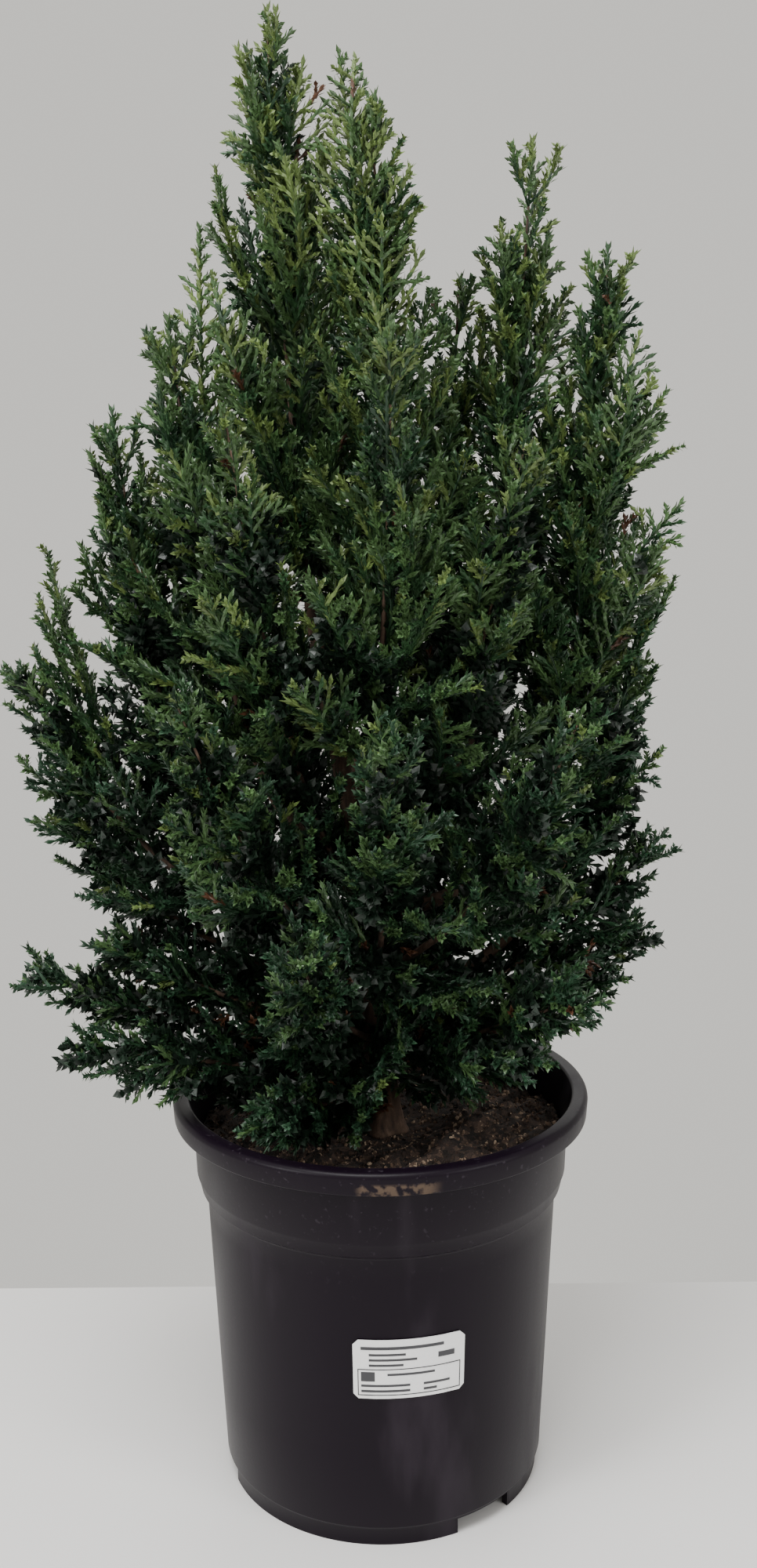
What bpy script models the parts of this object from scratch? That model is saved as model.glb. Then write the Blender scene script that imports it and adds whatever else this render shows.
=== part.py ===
"""Potted dwarf Lawson cypress, built the way the plant is.

A black nursery pot filled with soil carries one short trunk. The trunk forks into
upright boughs, and on these and on the trunk itself stand masses of flat, feathery
sprays. Every mass is a stem with toothed sprays fused on, and keeps to its own space.
Metres, +Z up. The origin is the middle of the pot's underside, and -Y is the front.
"""

import math
import random

import bmesh
import bpy
import numpy as np
from mathutils import Vector
from mathutils.bvhtree import BVHTree

GAP = 0.0003                     # air left between two pieces that touch

# Pot: a round nursery pot with a rolled rim, a shoulder band and a recessed foot
POT_SIDES = 44
POT_HEIGHT = 0.2054
POT_WALL = 0.0018
RIM_RADIUS = 0.1050
RIM_DEPTH = 0.0110               # height of the rim's outer face
RIM_CORNER = 0.0030              # radius of its rolled edge
RIM_UNDERCUT = 0.0005
RIM_INNER_RADIUS = 0.0968
BAND_TOP_RADIUS = 0.0950         # shoulder band, straight under the rim
BAND_FOOT_RADIUS = 0.0940
BAND_FOOT_HEIGHT = 0.1650
BODY_TOP_RADIUS = 0.0891
BODY_TOP_HEIGHT = 0.1550
BODY_STEP = 0.0030               # the slant from the body out to the band
BODY_FOOT_RADIUS = 0.0827
BODY_FOOT_HEIGHT = 0.0100
FOOT_RADIUS = 0.0806
FLOOR_HEIGHT = 0.0080            # underside of the pot's floor
FLOOR_THICKNESS = 0.0025
HUB_RADIUS = 0.0200              # round boss in the middle that reaches the ground
FOOT_GAP_COUNT = 3
FOOT_GAP_ANGLE = math.radians(38.5)     # middle of the first gap, right of the front
FOOT_GAP_WIDTH = 0.0330
FOOT_GAP_DEPTH = 0.0300

# Label: a plain sticker on the front, right of the middle
LABEL_LEFT = math.radians(-9.2)
LABEL_RIGHT = math.radians(26.3)
LABEL_BOTTOM = 0.0830
LABEL_TOP = 0.1140
LABEL_THICKNESS = 0.0006
LABEL_CORNER = 0.0025
LABEL_STEPS = 10

# Soil: peat that fills the pot, with a mound to the right
SOIL_SIDES = 30
SOIL_LEVEL = 0.1810
SOIL_MOUND_HEIGHT = 0.0110
SOIL_MOUND_PLACE = (0.052, -0.012)
SOIL_MOUND_SPREAD = 0.030
SOIL_LUMP = 0.0022
SOIL_WAVES = ((190, 170), (310, 260))   # how close the lumps stand, two sets of them
SOIL_RINGS = (1.0, 0.86, 0.70, 0.54, 0.38, 0.20)
SOIL_FLAT_RADIUS = 0.022         # level patch that the trunk stands on

# Trunk: from its flat cut at soil level to its tip inside the tallest plume
TRUNK_LINE = [(0.001, 0.002, SOIL_LEVEL + GAP), (0.000, 0.003, 0.215), (-0.004, 0.004, 0.270),
              (-0.012, 0.006, 0.340), (-0.024, 0.009, 0.400), (-0.032, 0.011, 0.450)]
TRUNK_FOOT_RADIUS = 0.0095
TRUNK_TIP_RADIUS = 0.0030
TRUNK_FLARE = 0.0055             # how far the root flare stands out
TRUNK_FLARE_HEIGHT = 0.010
TRUNK_FLARE_LOBES = 5
TRUNK_SIDES = 15
TRUNK_RINGS = 9
TRUNK_TAPER = 0.85               # below 1 the trunk thins faster low down
TRUNK_LOOK = 0.004               # span over which its direction is taken

# Boughs and stems
BOUGH_FOOT_RADIUS = 0.0042
BOUGH_TIP_RADIUS = 0.0026
BOUGH_SIDES = 6
BOUGH_RINGS = 5
STEM_FOOT_RADIUS = 0.0024
STEM_TIP_RADIUS = 0.0009
CORE_SHARE = 0.66                # a mass's dense heart to the mass's own half width
CORE_TAPER = 0.30                # share of the stem over which the heart thins out
CORE_SIDES = 7
CORE_RINGS = 6
CORE_TRIES = 10                  # steps in which the heart gives way to a neighbour
CORE_MARGIN = 0.0008
CORE_SHRINK = 0.90               # and how it yields, step by step, to what is already there
CORE_YIELDS = 40
CORE_UNEVEN = 0.88               # least share of its reach that a heart keeps anywhere
AWAY_SHARE = 0.62                # share of a limb's sideways travel done at its bend
OUTLINE_FULL = 0.40              # where along its stem a mass is widest
OUTLINE_SWELL = 0.6              # how fast it widens up to there
OUTLINE_THIN = 0.88              # how much narrower it is at the tip
OUTLINE_TAPER = 1.5

# Sprays
SPRAY_LEAN_LOW = math.radians(46)      # angle between a spray and its stem, low down
SPRAY_LEAN_HIGH = math.radians(25)     # and at the top, where sprays stand upright
SPRAY_LEAN_HEIGHTS = (0.28, 0.66)
SPRAY_MIN = 0.020                # shortest run from a spray's root to its tip
SPRAY_WIDTH = 0.62               # breadth of a spray to its length
SPRAY_THICKNESS = 0.0026
SPRAY_SUNK = 0.0045              # how deep a root sits in the heart of its mass
SPRAY_ROLL = math.radians(38)    # spread of the sprays' turn about their own line
SPRAY_FIRST = 0.20               # how far up the stem the lowest spray's tip stands
SPRAY_LAST = 0.98                # and the highest
SPRAY_STRETCH = (0.86, 1.10)     # least and most reach to the mass's outline
SPRAY_SIZES = (1.0, 0.82, 0.66, 0.52)
SPRAY_HEART = 0.40               # where a spray is asked whether it keeps to its space
SPACE_LEEWAY = 0.006             # how far the broad part of a spray may pass its border
SPRAY_CLEAR = 0.0006             # kept from the limbs and from the sprays of other masses
CLEAR_OF_SOIL = 0.012            # how far low sprays stay above the soil
CLEAR_OF_WALL = 0.006            # and inside the pot's rim
CLEAR_OF_RIM = 0.002             # and outside or above it
SPRAY_TRIES = 10                 # places tried for each spray
SPRAY_DENSITY = 820              # sprays to the product of a mass's length and half width
SPRAY_FEWEST = 6
# Half a spray's outline above its root: (share of its length, share of its half width)
SPRAY_OUTLINE = [(0.47, 0.96), (0.44, 0.34), (0.77, 0.70), (0.66, 0.24)]
SPRAY_RIDGE = 0.22               # where a spray is thickest
TURN_U = 0.7548776662            # two even sequences that spread the sprays
TURN_V = 0.5698402910

UP = Vector((0, 0, 1))

# Boughs: the height at which each leaves the trunk, its end, and how much of its
# climb is done at its bend (low for an upswept bough)
BOUGHS = {
    "bough_middle": (0.350, (0.006, -0.010, 0.436), 0.30),
    "bough_spire": (0.338, (0.028, 0.026, 0.392), 0.30),
    "bough_right": (0.316, (0.046, 0.012, 0.382), 0.28),
    "bough_far_right": (0.292, (0.084, 0.006, 0.340), 0.30),
    "bough_shoulder_left": (0.318, (-0.056, -0.010, 0.370), 0.30),
    "bough_left": (0.288, (-0.084, 0.008, 0.326), 0.30),
    "bough_side_left": (0.262, (-0.070, -0.008, 0.300), 0.35),
    "bough_side_right": (0.250, (0.066, 0.006, 0.282), 0.35),
    "bough_front": (0.330, (-0.002, -0.034, 0.372), 0.30),
    "bough_back": (0.330, (-0.012, 0.048, 0.380), 0.30),
}

# Masses of foliage: what each grows from (a bough's end, the trunk's tip, or a height
# on the trunk), its furthest tip, its half width, its climb at the bend, and the tips of
# sprays that stand out of its outline
MASSES = {
    "foliage_tall_plume": ("trunk", (-0.047, 0.015, 0.716), 0.054, 0.50,
                           ((-0.060, 0.012, 0.700), (-0.031, 0.014, 0.694))),
    "foliage_middle_plume": ("bough_middle", (0.001, -0.008, 0.675), 0.046, 0.50,
                             ((0.017, -0.010, 0.645), (-0.007, 0.020, 0.698),
                              (-0.015, 0.028, 0.706))),
    "foliage_spire": ("bough_spire", (0.041, 0.030, 0.600), 0.038, 0.50,
                      ((0.053, 0.030, 0.583),)),
    "foliage_right_plume": ("bough_right", (0.075, 0.022, 0.660), 0.040, 0.50,
                            ((0.061, 0.020, 0.625), (0.094, 0.024, 0.596))),
    "foliage_far_right": ("bough_far_right", (0.110, 0.012, 0.611), 0.058, 0.45,
                          ((0.116, 0.010, 0.600), (0.135, -0.004, 0.546), (0.144, 0.000, 0.522))),
    "foliage_shoulder_left": ("bough_shoulder_left", (-0.094, -0.004, 0.580), 0.052, 0.45,
                              ((-0.080, 0.010, 0.622),)),
    "foliage_left_plume": ("bough_left", (-0.122, 0.002, 0.539), 0.048, 0.45,
                           ((-0.134, 0.000, 0.522),)),
    "foliage_side_left": ("bough_side_left", (-0.170, -0.004, 0.421), 0.044, 0.45,
                          ((-0.157, -0.002, 0.484), (-0.160, -0.004, 0.455))),
    "foliage_side_left_low": (0.246, (-0.160, 0.006, 0.346), 0.036, 0.45,
                              ((-0.166, 0.000, 0.388),)),
    "foliage_low_left": (0.228, (-0.128, -0.020, 0.290), 0.034, 0.60, ()),
    "foliage_long_left": (0.213, (-0.163, -0.026, 0.274), 0.028, 0.90, ()),
    "foliage_drooping_left": (0.204, (-0.137, -0.050, 0.245), 0.034, 1.10,
                              ((-0.122, -0.052, 0.224), (-0.104, -0.054, 0.219))),
    "foliage_pot_front": (0.194, (-0.050, -0.068, 0.212), 0.034, 2.2,
                          ((-0.011, -0.072, 0.214), (-0.064, -0.062, 0.207))),
    "foliage_side_right": ("bough_side_right", (0.126, 0.004, 0.424), 0.044, 0.40,
                           ((0.127, 0.002, 0.398),)),
    "foliage_side_right_low": (0.236, (0.137, 0.004, 0.330), 0.040, 0.45,
                               ((0.133, 0.004, 0.305),)),
    "foliage_low_right": (0.210, (0.130, 0.010, 0.282), 0.034, 0.60,
                          ((0.114, 0.006, 0.254),)),
    "foliage_front_low_right": (0.222, (0.090, -0.076, 0.278), 0.042, 0.75,
                                ((0.060, -0.080, 0.246), (0.085, -0.040, 0.250))),
    "foliage_front_plume": ("bough_front", (0.008, -0.070, 0.572), 0.050, 0.40, ()),
    "foliage_front_left": (0.300, (-0.064, -0.066, 0.540), 0.046, 0.32, ()),
    "foliage_front_right": (0.306, (0.066, -0.064, 0.530), 0.046, 0.32, ()),
    "foliage_front_low_left": (0.268, (-0.086, -0.094, 0.420), 0.048, 0.40, ()),
    "foliage_front_middle": (0.256, (0.006, -0.118, 0.410), 0.048, 0.40, ()),
    "foliage_front_low_middle": (0.228, (-0.036, -0.112, 0.312), 0.042, 0.60, ()),
    "foliage_front_side_right": (0.264, (0.088, -0.090, 0.410), 0.048, 0.40, ()),
    "foliage_back_tall": ("bough_back", (-0.026, 0.082, 0.588), 0.048, 0.40, ()),
    "foliage_back_left": (0.296, (-0.092, 0.074, 0.520), 0.048, 0.32, ()),
    "foliage_back_right": (0.304, (0.086, 0.072, 0.520), 0.048, 0.32, ()),
    "foliage_back_low_left": (0.254, (-0.104, 0.086, 0.372), 0.050, 0.45, ()),
    "foliage_back_low_middle": (0.240, (0.000, 0.122, 0.390), 0.050, 0.40, ()),
    "foliage_back_low_right": (0.260, (0.098, 0.086, 0.368), 0.050, 0.45, ()),
    "foliage_back_foot": (0.216, (0.006, 0.112, 0.276), 0.044, 0.70, ()),
}

# Colours as the photo shows them: red, green, blue, then roughness
POT_COLOUR = (0.020, 0.017, 0.022, 0.38)
SOIL_COLOUR = (0.022, 0.014, 0.010, 0.95)
LABEL_COLOUR = (0.78, 0.78, 0.78, 0.50)
BARK_COLOUR = (0.085, 0.050, 0.032, 0.90)
GREEN_LIGHT = (0.050, 0.110, 0.042, 0.60)
GREEN_DEEP = (0.020, 0.062, 0.036, 0.60)
GREEN_LIGHT_HEIGHT = 0.52        # tips above this are the lighter, younger green
SMOOTH_POT = math.radians(35)    # edges sharper than this stay sharp
SMOOTH_TRUNK = math.radians(50)


def clear_scene():
    """Start from an empty scene."""
    for obj in list(bpy.data.objects):
        bpy.data.objects.remove(obj)


def make_material(name, colour):
    """A plain finish: three parts colour and one part roughness."""
    material = bpy.data.materials.new(name)
    material.use_nodes = True
    shader = material.node_tree.nodes["Principled BSDF"]
    shader.inputs["Base Color"].default_value = (colour[0], colour[1], colour[2], 1.0)
    shader.inputs["Roughness"].default_value = colour[3]
    shader.inputs["Metallic"].default_value = 0.0
    return material


def make_object(name, mesh, material=None):
    """Put a mesh into the scene under its node's name."""
    obj = bpy.data.objects.new(name, mesh)
    bpy.context.scene.collection.objects.link(obj)
    if material:
        mesh.materials.clear()
        mesh.materials.append(material)
    return obj


def mesh_from(bm, name):
    """Close off a bmesh as a mesh whose faces point outwards."""
    bmesh.ops.recalc_face_normals(bm, faces=bm.faces)
    mesh = bpy.data.meshes.new(name)
    bm.to_mesh(mesh)
    bm.free()
    return mesh


def bridge_rings(bm, rings, closed_round=True):
    """Faces between each ring of points and the next; a ring of one point is a pole."""
    for low, high in zip(rings, rings[1:]):
        count = max(len(low), len(high))
        steps = count if closed_round else count - 1
        for i in range(steps):
            j = (i + 1) % count
            if len(low) == 1:
                bm.faces.new((low[0], high[j], high[i]))
            elif len(high) == 1:
                bm.faces.new((low[i], low[j], high[0]))
            else:
                bm.faces.new((low[i], low[j], high[j], high[i]))


def turned_mesh(name, profile, sides):
    """Turn a line of (radius, height) points that starts and ends on the axis."""
    bm = bmesh.new()
    rings = []
    for radius, height in profile:
        if radius == 0:
            rings.append([bm.verts.new((0, 0, height))])
            continue
        turns = [2 * math.pi * i / sides for i in range(sides)]
        rings.append([bm.verts.new((radius * math.cos(a), radius * math.sin(a), height))
                      for a in turns])
    bridge_rings(bm, rings)
    return mesh_from(bm, name)


def evaluated_copy(obj):
    """The object's mesh with its modifiers worked out."""
    bpy.context.view_layer.update()
    depsgraph = bpy.context.evaluated_depsgraph_get()
    return bpy.data.meshes.new_from_object(obj.evaluated_get(depsgraph))


def boolean(obj, operation, other=None, collection=None, solver="EXACT"):
    """Apply one Boolean to the object and remove what it was done with."""
    modifier = obj.modifiers.new("boolean", "BOOLEAN")
    modifier.operation = operation
    modifier.solver = solver
    if collection:
        modifier.operand_type = "COLLECTION"
        modifier.collection = collection
    else:
        modifier.object = other
    mesh = evaluated_copy(obj)
    obj.modifiers.remove(modifier)
    old = obj.data
    obj.data = mesh
    bpy.data.meshes.remove(old)
    used = list(collection.objects) if collection else [other]
    for tool in used:
        bpy.data.objects.remove(tool)
    if collection:
        bpy.data.collections.remove(collection)


def arc(centre, radius, start, end, steps):
    """Points on part of a circle in the (radius, height) plane, angles in degrees."""
    points = []
    for i in range(steps + 1):
        angle = math.radians(start + (end - start) * i / steps)
        points.append((centre[0] + radius * math.cos(angle), centre[1] + radius * math.sin(angle)))
    return points


def body_radius(height):
    """Outer radius of the pot's tapered body."""
    share = (height - BODY_FOOT_HEIGHT) / (BODY_TOP_HEIGHT - BODY_FOOT_HEIGHT)
    return BODY_FOOT_RADIUS + (BODY_TOP_RADIUS - BODY_FOOT_RADIUS) * share


def inner_radius(height):
    """Radius of the pot's inside at a height below the rim."""
    if height <= BODY_TOP_HEIGHT:
        outer = body_radius(height)
    elif height >= BAND_FOOT_HEIGHT:
        band = POT_HEIGHT - RIM_DEPTH - BAND_FOOT_HEIGHT
        share = (height - BAND_FOOT_HEIGHT) / band
        outer = BAND_FOOT_RADIUS + (BAND_TOP_RADIUS - BAND_FOOT_RADIUS) * share
    else:
        share = (height - BODY_TOP_HEIGHT) / (BAND_FOOT_HEIGHT - BODY_TOP_HEIGHT)
        outer = BODY_TOP_RADIUS + (BAND_FOOT_RADIUS - BODY_TOP_RADIUS) * share
    return outer - POT_WALL


def pot_profile():
    """The pot's section, up the outside, over the rim and down the inside."""
    rim_bottom = POT_HEIGHT - RIM_DEPTH
    lip_centre = (RIM_RADIUS - RIM_CORNER, POT_HEIGHT - RIM_CORNER)
    floor_top = FLOOR_HEIGHT + FLOOR_THICKNESS
    outside = [(0, 0), (HUB_RADIUS, 0), (HUB_RADIUS, FLOOR_HEIGHT),
               (FOOT_RADIUS - 2 * POT_WALL, FLOOR_HEIGHT), (FOOT_RADIUS - 2 * POT_WALL, 0),
               (FOOT_RADIUS, 0), (FOOT_RADIUS, FLOOR_HEIGHT), (BODY_FOOT_RADIUS, BODY_FOOT_HEIGHT),
               (BODY_TOP_RADIUS, BODY_TOP_HEIGHT),
               (BODY_TOP_RADIUS + BODY_STEP, BODY_TOP_HEIGHT + BODY_STEP),
               (BAND_FOOT_RADIUS, BAND_FOOT_HEIGHT), (BAND_TOP_RADIUS, rim_bottom),
               (RIM_RADIUS - RIM_UNDERCUT, rim_bottom)]
    inside = [(RIM_INNER_RADIUS, POT_HEIGHT), (inner_radius(rim_bottom), rim_bottom),
              (inner_radius(BAND_FOOT_HEIGHT), BAND_FOOT_HEIGHT),
              (inner_radius(BODY_TOP_HEIGHT), BODY_TOP_HEIGHT),
              (inner_radius(floor_top), floor_top), (0, floor_top)]
    return outside + arc(lip_centre, RIM_CORNER, 0, 90, 3) + inside


def make_pot(material):
    """The pot, with gaps cut through its foot for the water to run off."""
    mesh = turned_mesh("pot", pot_profile(), POT_SIDES)
    pot = make_object("pot", mesh, material)
    for i in range(FOOT_GAP_COUNT):
        angle = FOOT_GAP_ANGLE + i * 2 * math.pi / FOOT_GAP_COUNT
        bm = bmesh.new()
        bmesh.ops.create_cube(bm, size=1.0)
        cutter = make_object("foot_gap", mesh_from(bm, "foot_gap"))
        cutter.scale = (FOOT_GAP_WIDTH, FOOT_GAP_DEPTH, 2 * (FLOOR_HEIGHT - GAP))
        cutter.rotation_euler = (0, 0, angle)
        cutter.location = (FOOT_RADIUS * math.sin(angle), -FOOT_RADIUS * math.cos(angle), 0)
        cutter.hide_render = True
        cutter.display_type = "WIRE"
        boolean(pot, "DIFFERENCE", other=cutter)
    pot.data.shade_smooth()
    pot.data.set_sharp_from_angle(angle=SMOOTH_POT)
    return pot


def make_label(material):
    """A thin sheet with round corners that follows the pot's taper."""
    bm = bmesh.new()
    width = LABEL_RIGHT - LABEL_LEFT
    corner_turn = LABEL_CORNER / BODY_TOP_RADIUS
    layers = []
    for lift in (GAP * 2, GAP * 2 + LABEL_THICKNESS):
        columns = []
        for i in range(LABEL_STEPS + 1):
            turn = LABEL_LEFT + width * i / LABEL_STEPS
            if i == 1:
                turn = LABEL_LEFT + corner_turn
            if i == LABEL_STEPS - 1:
                turn = LABEL_RIGHT - corner_turn
            inset = LABEL_CORNER if i in (0, LABEL_STEPS) else 0
            column = []
            for height in (LABEL_BOTTOM + inset, LABEL_TOP - inset):
                radius = body_radius(height) + lift
                column.append(bm.verts.new((radius * math.sin(turn), -radius * math.cos(turn),
                                            height)))
            columns.append(column)
        layers.append(columns)
    inner, outer = layers
    for i in range(LABEL_STEPS):
        bm.faces.new((inner[i][0], inner[i][1], inner[i + 1][1], inner[i + 1][0]))
        bm.faces.new((outer[i][0], outer[i + 1][0], outer[i + 1][1], outer[i][1]))
        for end in (0, 1):
            bm.faces.new((inner[i][end], inner[i + 1][end], outer[i + 1][end], outer[i][end]))
    for i in (0, LABEL_STEPS):
        bm.faces.new((inner[i][0], inner[i][1], outer[i][1], outer[i][0]))
    return make_object("label", mesh_from(bm, "label"), material)


def soil_height(x, y):
    """Height of the soil's lumpy top, level where the trunk stands."""
    away = ((x - SOIL_MOUND_PLACE[0]) ** 2 + (y - SOIL_MOUND_PLACE[1]) ** 2)
    mound = SOIL_MOUND_HEIGHT * math.exp(-away / (2 * SOIL_MOUND_SPREAD ** 2))
    coarse, fine = SOIL_WAVES
    lumps = (math.sin(x * coarse[0] + 1.3) * math.cos(y * coarse[1] - 0.4)
             + 0.6 * math.sin(x * fine[0] - y * fine[1] + 2.0))
    from_trunk = math.hypot(x - TRUNK_LINE[0][0], y - TRUNK_LINE[0][1])
    blend = min(1.0, max(0.0, (from_trunk - SOIL_FLAT_RADIUS) / SOIL_FLAT_RADIUS))
    return SOIL_LEVEL + blend * (mound + SOIL_LUMP * lumps)


def make_soil(material):
    """Peat from the pot's floor to its lumpy top, just clear of the pot's wall."""
    floor = FLOOR_HEIGHT + FLOOR_THICKNESS + GAP
    bm = bmesh.new()
    turns = [2 * math.pi * i / SOIL_SIDES for i in range(SOIL_SIDES)]
    chord = 1 / math.cos(math.pi / POT_SIDES)
    rings = [[bm.verts.new((0, 0, floor))]]
    for height in (floor, BODY_TOP_HEIGHT, BAND_FOOT_HEIGHT):
        radius = inner_radius(height) / chord - GAP
        rings.append([bm.verts.new((radius * math.cos(a), radius * math.sin(a), height))
                      for a in turns])
    edge = inner_radius(SOIL_LEVEL) / chord - GAP
    for share in SOIL_RINGS:
        ring = []
        for a in turns:
            x, y = edge * share * math.cos(a), edge * share * math.sin(a)
            ring.append(bm.verts.new((x, y, soil_height(x, y))))
        rings.append(ring)
    rings.append([bm.verts.new((0, 0, SOIL_LEVEL))])
    bridge_rings(bm, rings)
    return make_object("soil", mesh_from(bm, "soil"), material)


def bend_point(start, end, climb):
    """Where a limb bends: far out already, but with only part of its climb done."""
    away = end - start
    return Vector((start.x + away.x * AWAY_SHARE, start.y + away.y * AWAY_SHARE,
                   start.z + away.z * climb * AWAY_SHARE))


def curve_point(line, t):
    """A point on a three-point curve."""
    start, bend, end = line
    return start * (1 - t) ** 2 + bend * 2 * t * (1 - t) + end * t ** 2


def curve_way(line, t):
    """The direction of a three-point curve."""
    start, bend, end = line
    return ((bend - start) * (1 - t) + (end - bend) * t).normalized()


def trunk_point(height):
    """The trunk's middle at a height, on a smooth line through its points."""
    points = [Vector(p) for p in TRUNK_LINE]
    if height <= points[1].z:
        share = (height - points[0].z) / (points[1].z - points[0].z)
        return points[0].lerp(points[1], max(0.0, share))
    for before, low, high, after in zip(points, points[1:], points[2:], points[3:] + points[-1:]):
        if height <= high.z:
            t = (height - low.z) / (high.z - low.z)
            tangent_low = (high - before) * (high.z - low.z) / (high.z - before.z)
            rise = after.z - low.z
            tangent_high = (after - low) * (high.z - low.z) / rise
            point = (low * (2 * t ** 3 - 3 * t ** 2 + 1) + high * (3 * t ** 2 - 2 * t ** 3)
                     + tangent_low * (t ** 3 - 2 * t ** 2 + t) + tangent_high * (t ** 3 - t ** 2))
            point.z = height
            return point
    return points[-1]


def trunk_radius(height, turn=0.0):
    """The trunk's radius: an even taper, and a lobed flare at the foot."""
    foot = TRUNK_LINE[0][2]
    share = (height - foot) / (TRUNK_LINE[-1][2] - foot)
    plain = TRUNK_FOOT_RADIUS + (TRUNK_TIP_RADIUS - TRUNK_FOOT_RADIUS) * share ** TRUNK_TAPER
    lobes = 0.75 + 0.25 * math.cos(TRUNK_FLARE_LOBES * turn)
    return plain + TRUNK_FLARE * math.exp(-(height - foot) / TRUNK_FLARE_HEIGHT) * lobes


def tube_mesh(name, points, ways, radii, sides):
    """A tapering limb with flat ends. A radius may depend on the turn round the limb."""
    bm = bmesh.new()
    across = ways[0].orthogonal().normalized()
    rings = [[bm.verts.new(points[0])]]
    for point, way, radius in zip(points, ways, radii):
        across = (across - way * across.dot(way)).normalized()
        other = way.cross(across)
        ring = []
        for i in range(sides):
            turn = 2 * math.pi * i / sides
            reach = radius(turn) if callable(radius) else radius
            ring.append(bm.verts.new(point + (across * math.cos(turn)
                                              + other * math.sin(turn)) * reach))
        rings.append(ring)
    rings.append([bm.verts.new(points[-1])])
    bridge_rings(bm, rings)
    return mesh_from(bm, name)


def trunk_mesh(name, extra=0.0):
    """The trunk, or with extra a stouter copy of it that cuts a joint's seat."""
    foot, tip = TRUNK_LINE[0][2], TRUNK_LINE[-1][2]
    points, ways, radii = [], [], []
    for i in range(TRUNK_RINGS):
        share = (i / (TRUNK_RINGS - 1)) ** 1.5
        height = foot + (tip - foot) * share
        points.append(trunk_point(height))
        ahead = (trunk_point(min(tip, height + TRUNK_LOOK))
                 - trunk_point(max(foot, height - TRUNK_LOOK)))
        ways.append(UP.copy() if i == 0 else ahead.normalized())
        radii.append(lambda turn, at=height: trunk_radius(at, turn) + extra)
    if extra:
        points[0] = points[0] - UP * extra
        points[-1] = points[-1] + ways[-1] * extra
    return tube_mesh(name, points, ways, radii, TRUNK_SIDES)


def limb_mesh(name, line, foot_radius, tip_radius, sides, rings):
    """A bough along a three-point curve, or a copy of it that cuts a joint's seat."""
    shares = [i / (rings - 1) for i in range(rings)]
    points = [curve_point(line, t) for t in shares]
    ways = [curve_way(line, t) for t in shares]
    radii = [foot_radius + (tip_radius - foot_radius) * t for t in shares]
    return tube_mesh(name, points, ways, radii, sides)


def core_reach(name, line, t, turn, space):
    """How far the core reaches sideways from its stem before it nears its border."""
    stem = stem_radius(t)
    middle, _, outwards = spray_frame(line, t, turn)
    full = MASSES[name][2] * CORE_SHARE * mass_outline(t) * min(1.0, (1 - t) / CORE_TAPER)
    spare = max(0.0, full - stem)
    for reach in [stem + spare * k / CORE_TRIES for k in range(CORE_TRIES, 0, -1)]:
        spokes = np.array([tuple(middle + outwards * reach * share) for share in (0.4, 0.7, 1.0)])
        if space.keeps_to(name, spokes, CORE_MARGIN) and space.clears_limbs(spokes, CORE_MARGIN):
            return reach
    return stem


def stem_radius(t):
    """Radius of a mass's stem at a share of its length."""
    return STEM_FOOT_RADIUS + (STEM_TIP_RADIUS - STEM_FOOT_RADIUS) * t


def core_reaches(name, space):
    """How far a mass's heart reaches at each point of its rings, a little uneven."""
    line = mass_line(name)
    draw = random.Random(7 + list(MASSES).index(name))
    reaches = []
    for i in range(CORE_RINGS):
        t = i / (CORE_RINGS - 1)
        reaches.append([core_reach(name, line, t, 2 * math.pi * j / CORE_SIDES, space)
                        * draw.uniform(CORE_UNEVEN, 1.0) for j in range(CORE_SIDES)])
    return reaches


def core_mesh(name, reaches):
    """A mass's stem with its dense heart: a spindle round the stem's curve."""
    line = mass_line(name)
    bm = bmesh.new()
    rings = [[bm.verts.new(line[0])]]
    for i, ring_reaches in enumerate(reaches):
        t = i / (CORE_RINGS - 1)
        ring = []
        for j, reach in enumerate(ring_reaches):
            middle, _, outwards = spray_frame(line, t, 2 * math.pi * j / CORE_SIDES)
            ring.append(bm.verts.new(middle + outwards * max(stem_radius(t), reach)))
        rings.append(ring)
    rings.append([bm.verts.new(line[2])])
    bridge_rings(bm, rings)
    bmesh.ops.triangulate(bm, faces=bm.faces)
    return mesh_from(bm, name)


def bough_line(name):
    """A bough's curve, from inside the trunk to its end."""
    height, end, climb = BOUGHS[name]
    start = trunk_point(height)
    return start, bend_point(start, Vector(end), climb), Vector(end)


def mass_line(name):
    """The curve of a mass's stem, from what it grows from to the furthest tip."""
    source, tip, _, climb, _ = MASSES[name]
    if source == "trunk":
        start = Vector(TRUNK_LINE[-1])
    elif source in BOUGHS:
        start = Vector(BOUGHS[source][1])
    else:
        start = trunk_point(source)
    return start, bend_point(start, Vector(tip), climb), Vector(tip)


def mass_outline(u):
    """Half width of a mass along its stem: full below the middle, pointed at the tip."""
    swell = min(1.0, max(0.0, u) / OUTLINE_FULL) ** OUTLINE_SWELL
    beyond = max(0.0, u - OUTLINE_FULL) / (1 - OUTLINE_FULL)
    return swell * (1.0 - OUTLINE_THIN * beyond ** OUTLINE_TAPER)


def line_length(line, steps=12):
    """Length of a three-point curve."""
    points = [curve_point(line, i / steps) for i in range(steps + 1)]
    return sum((b - a).length for a, b in zip(points, points[1:]))


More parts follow.
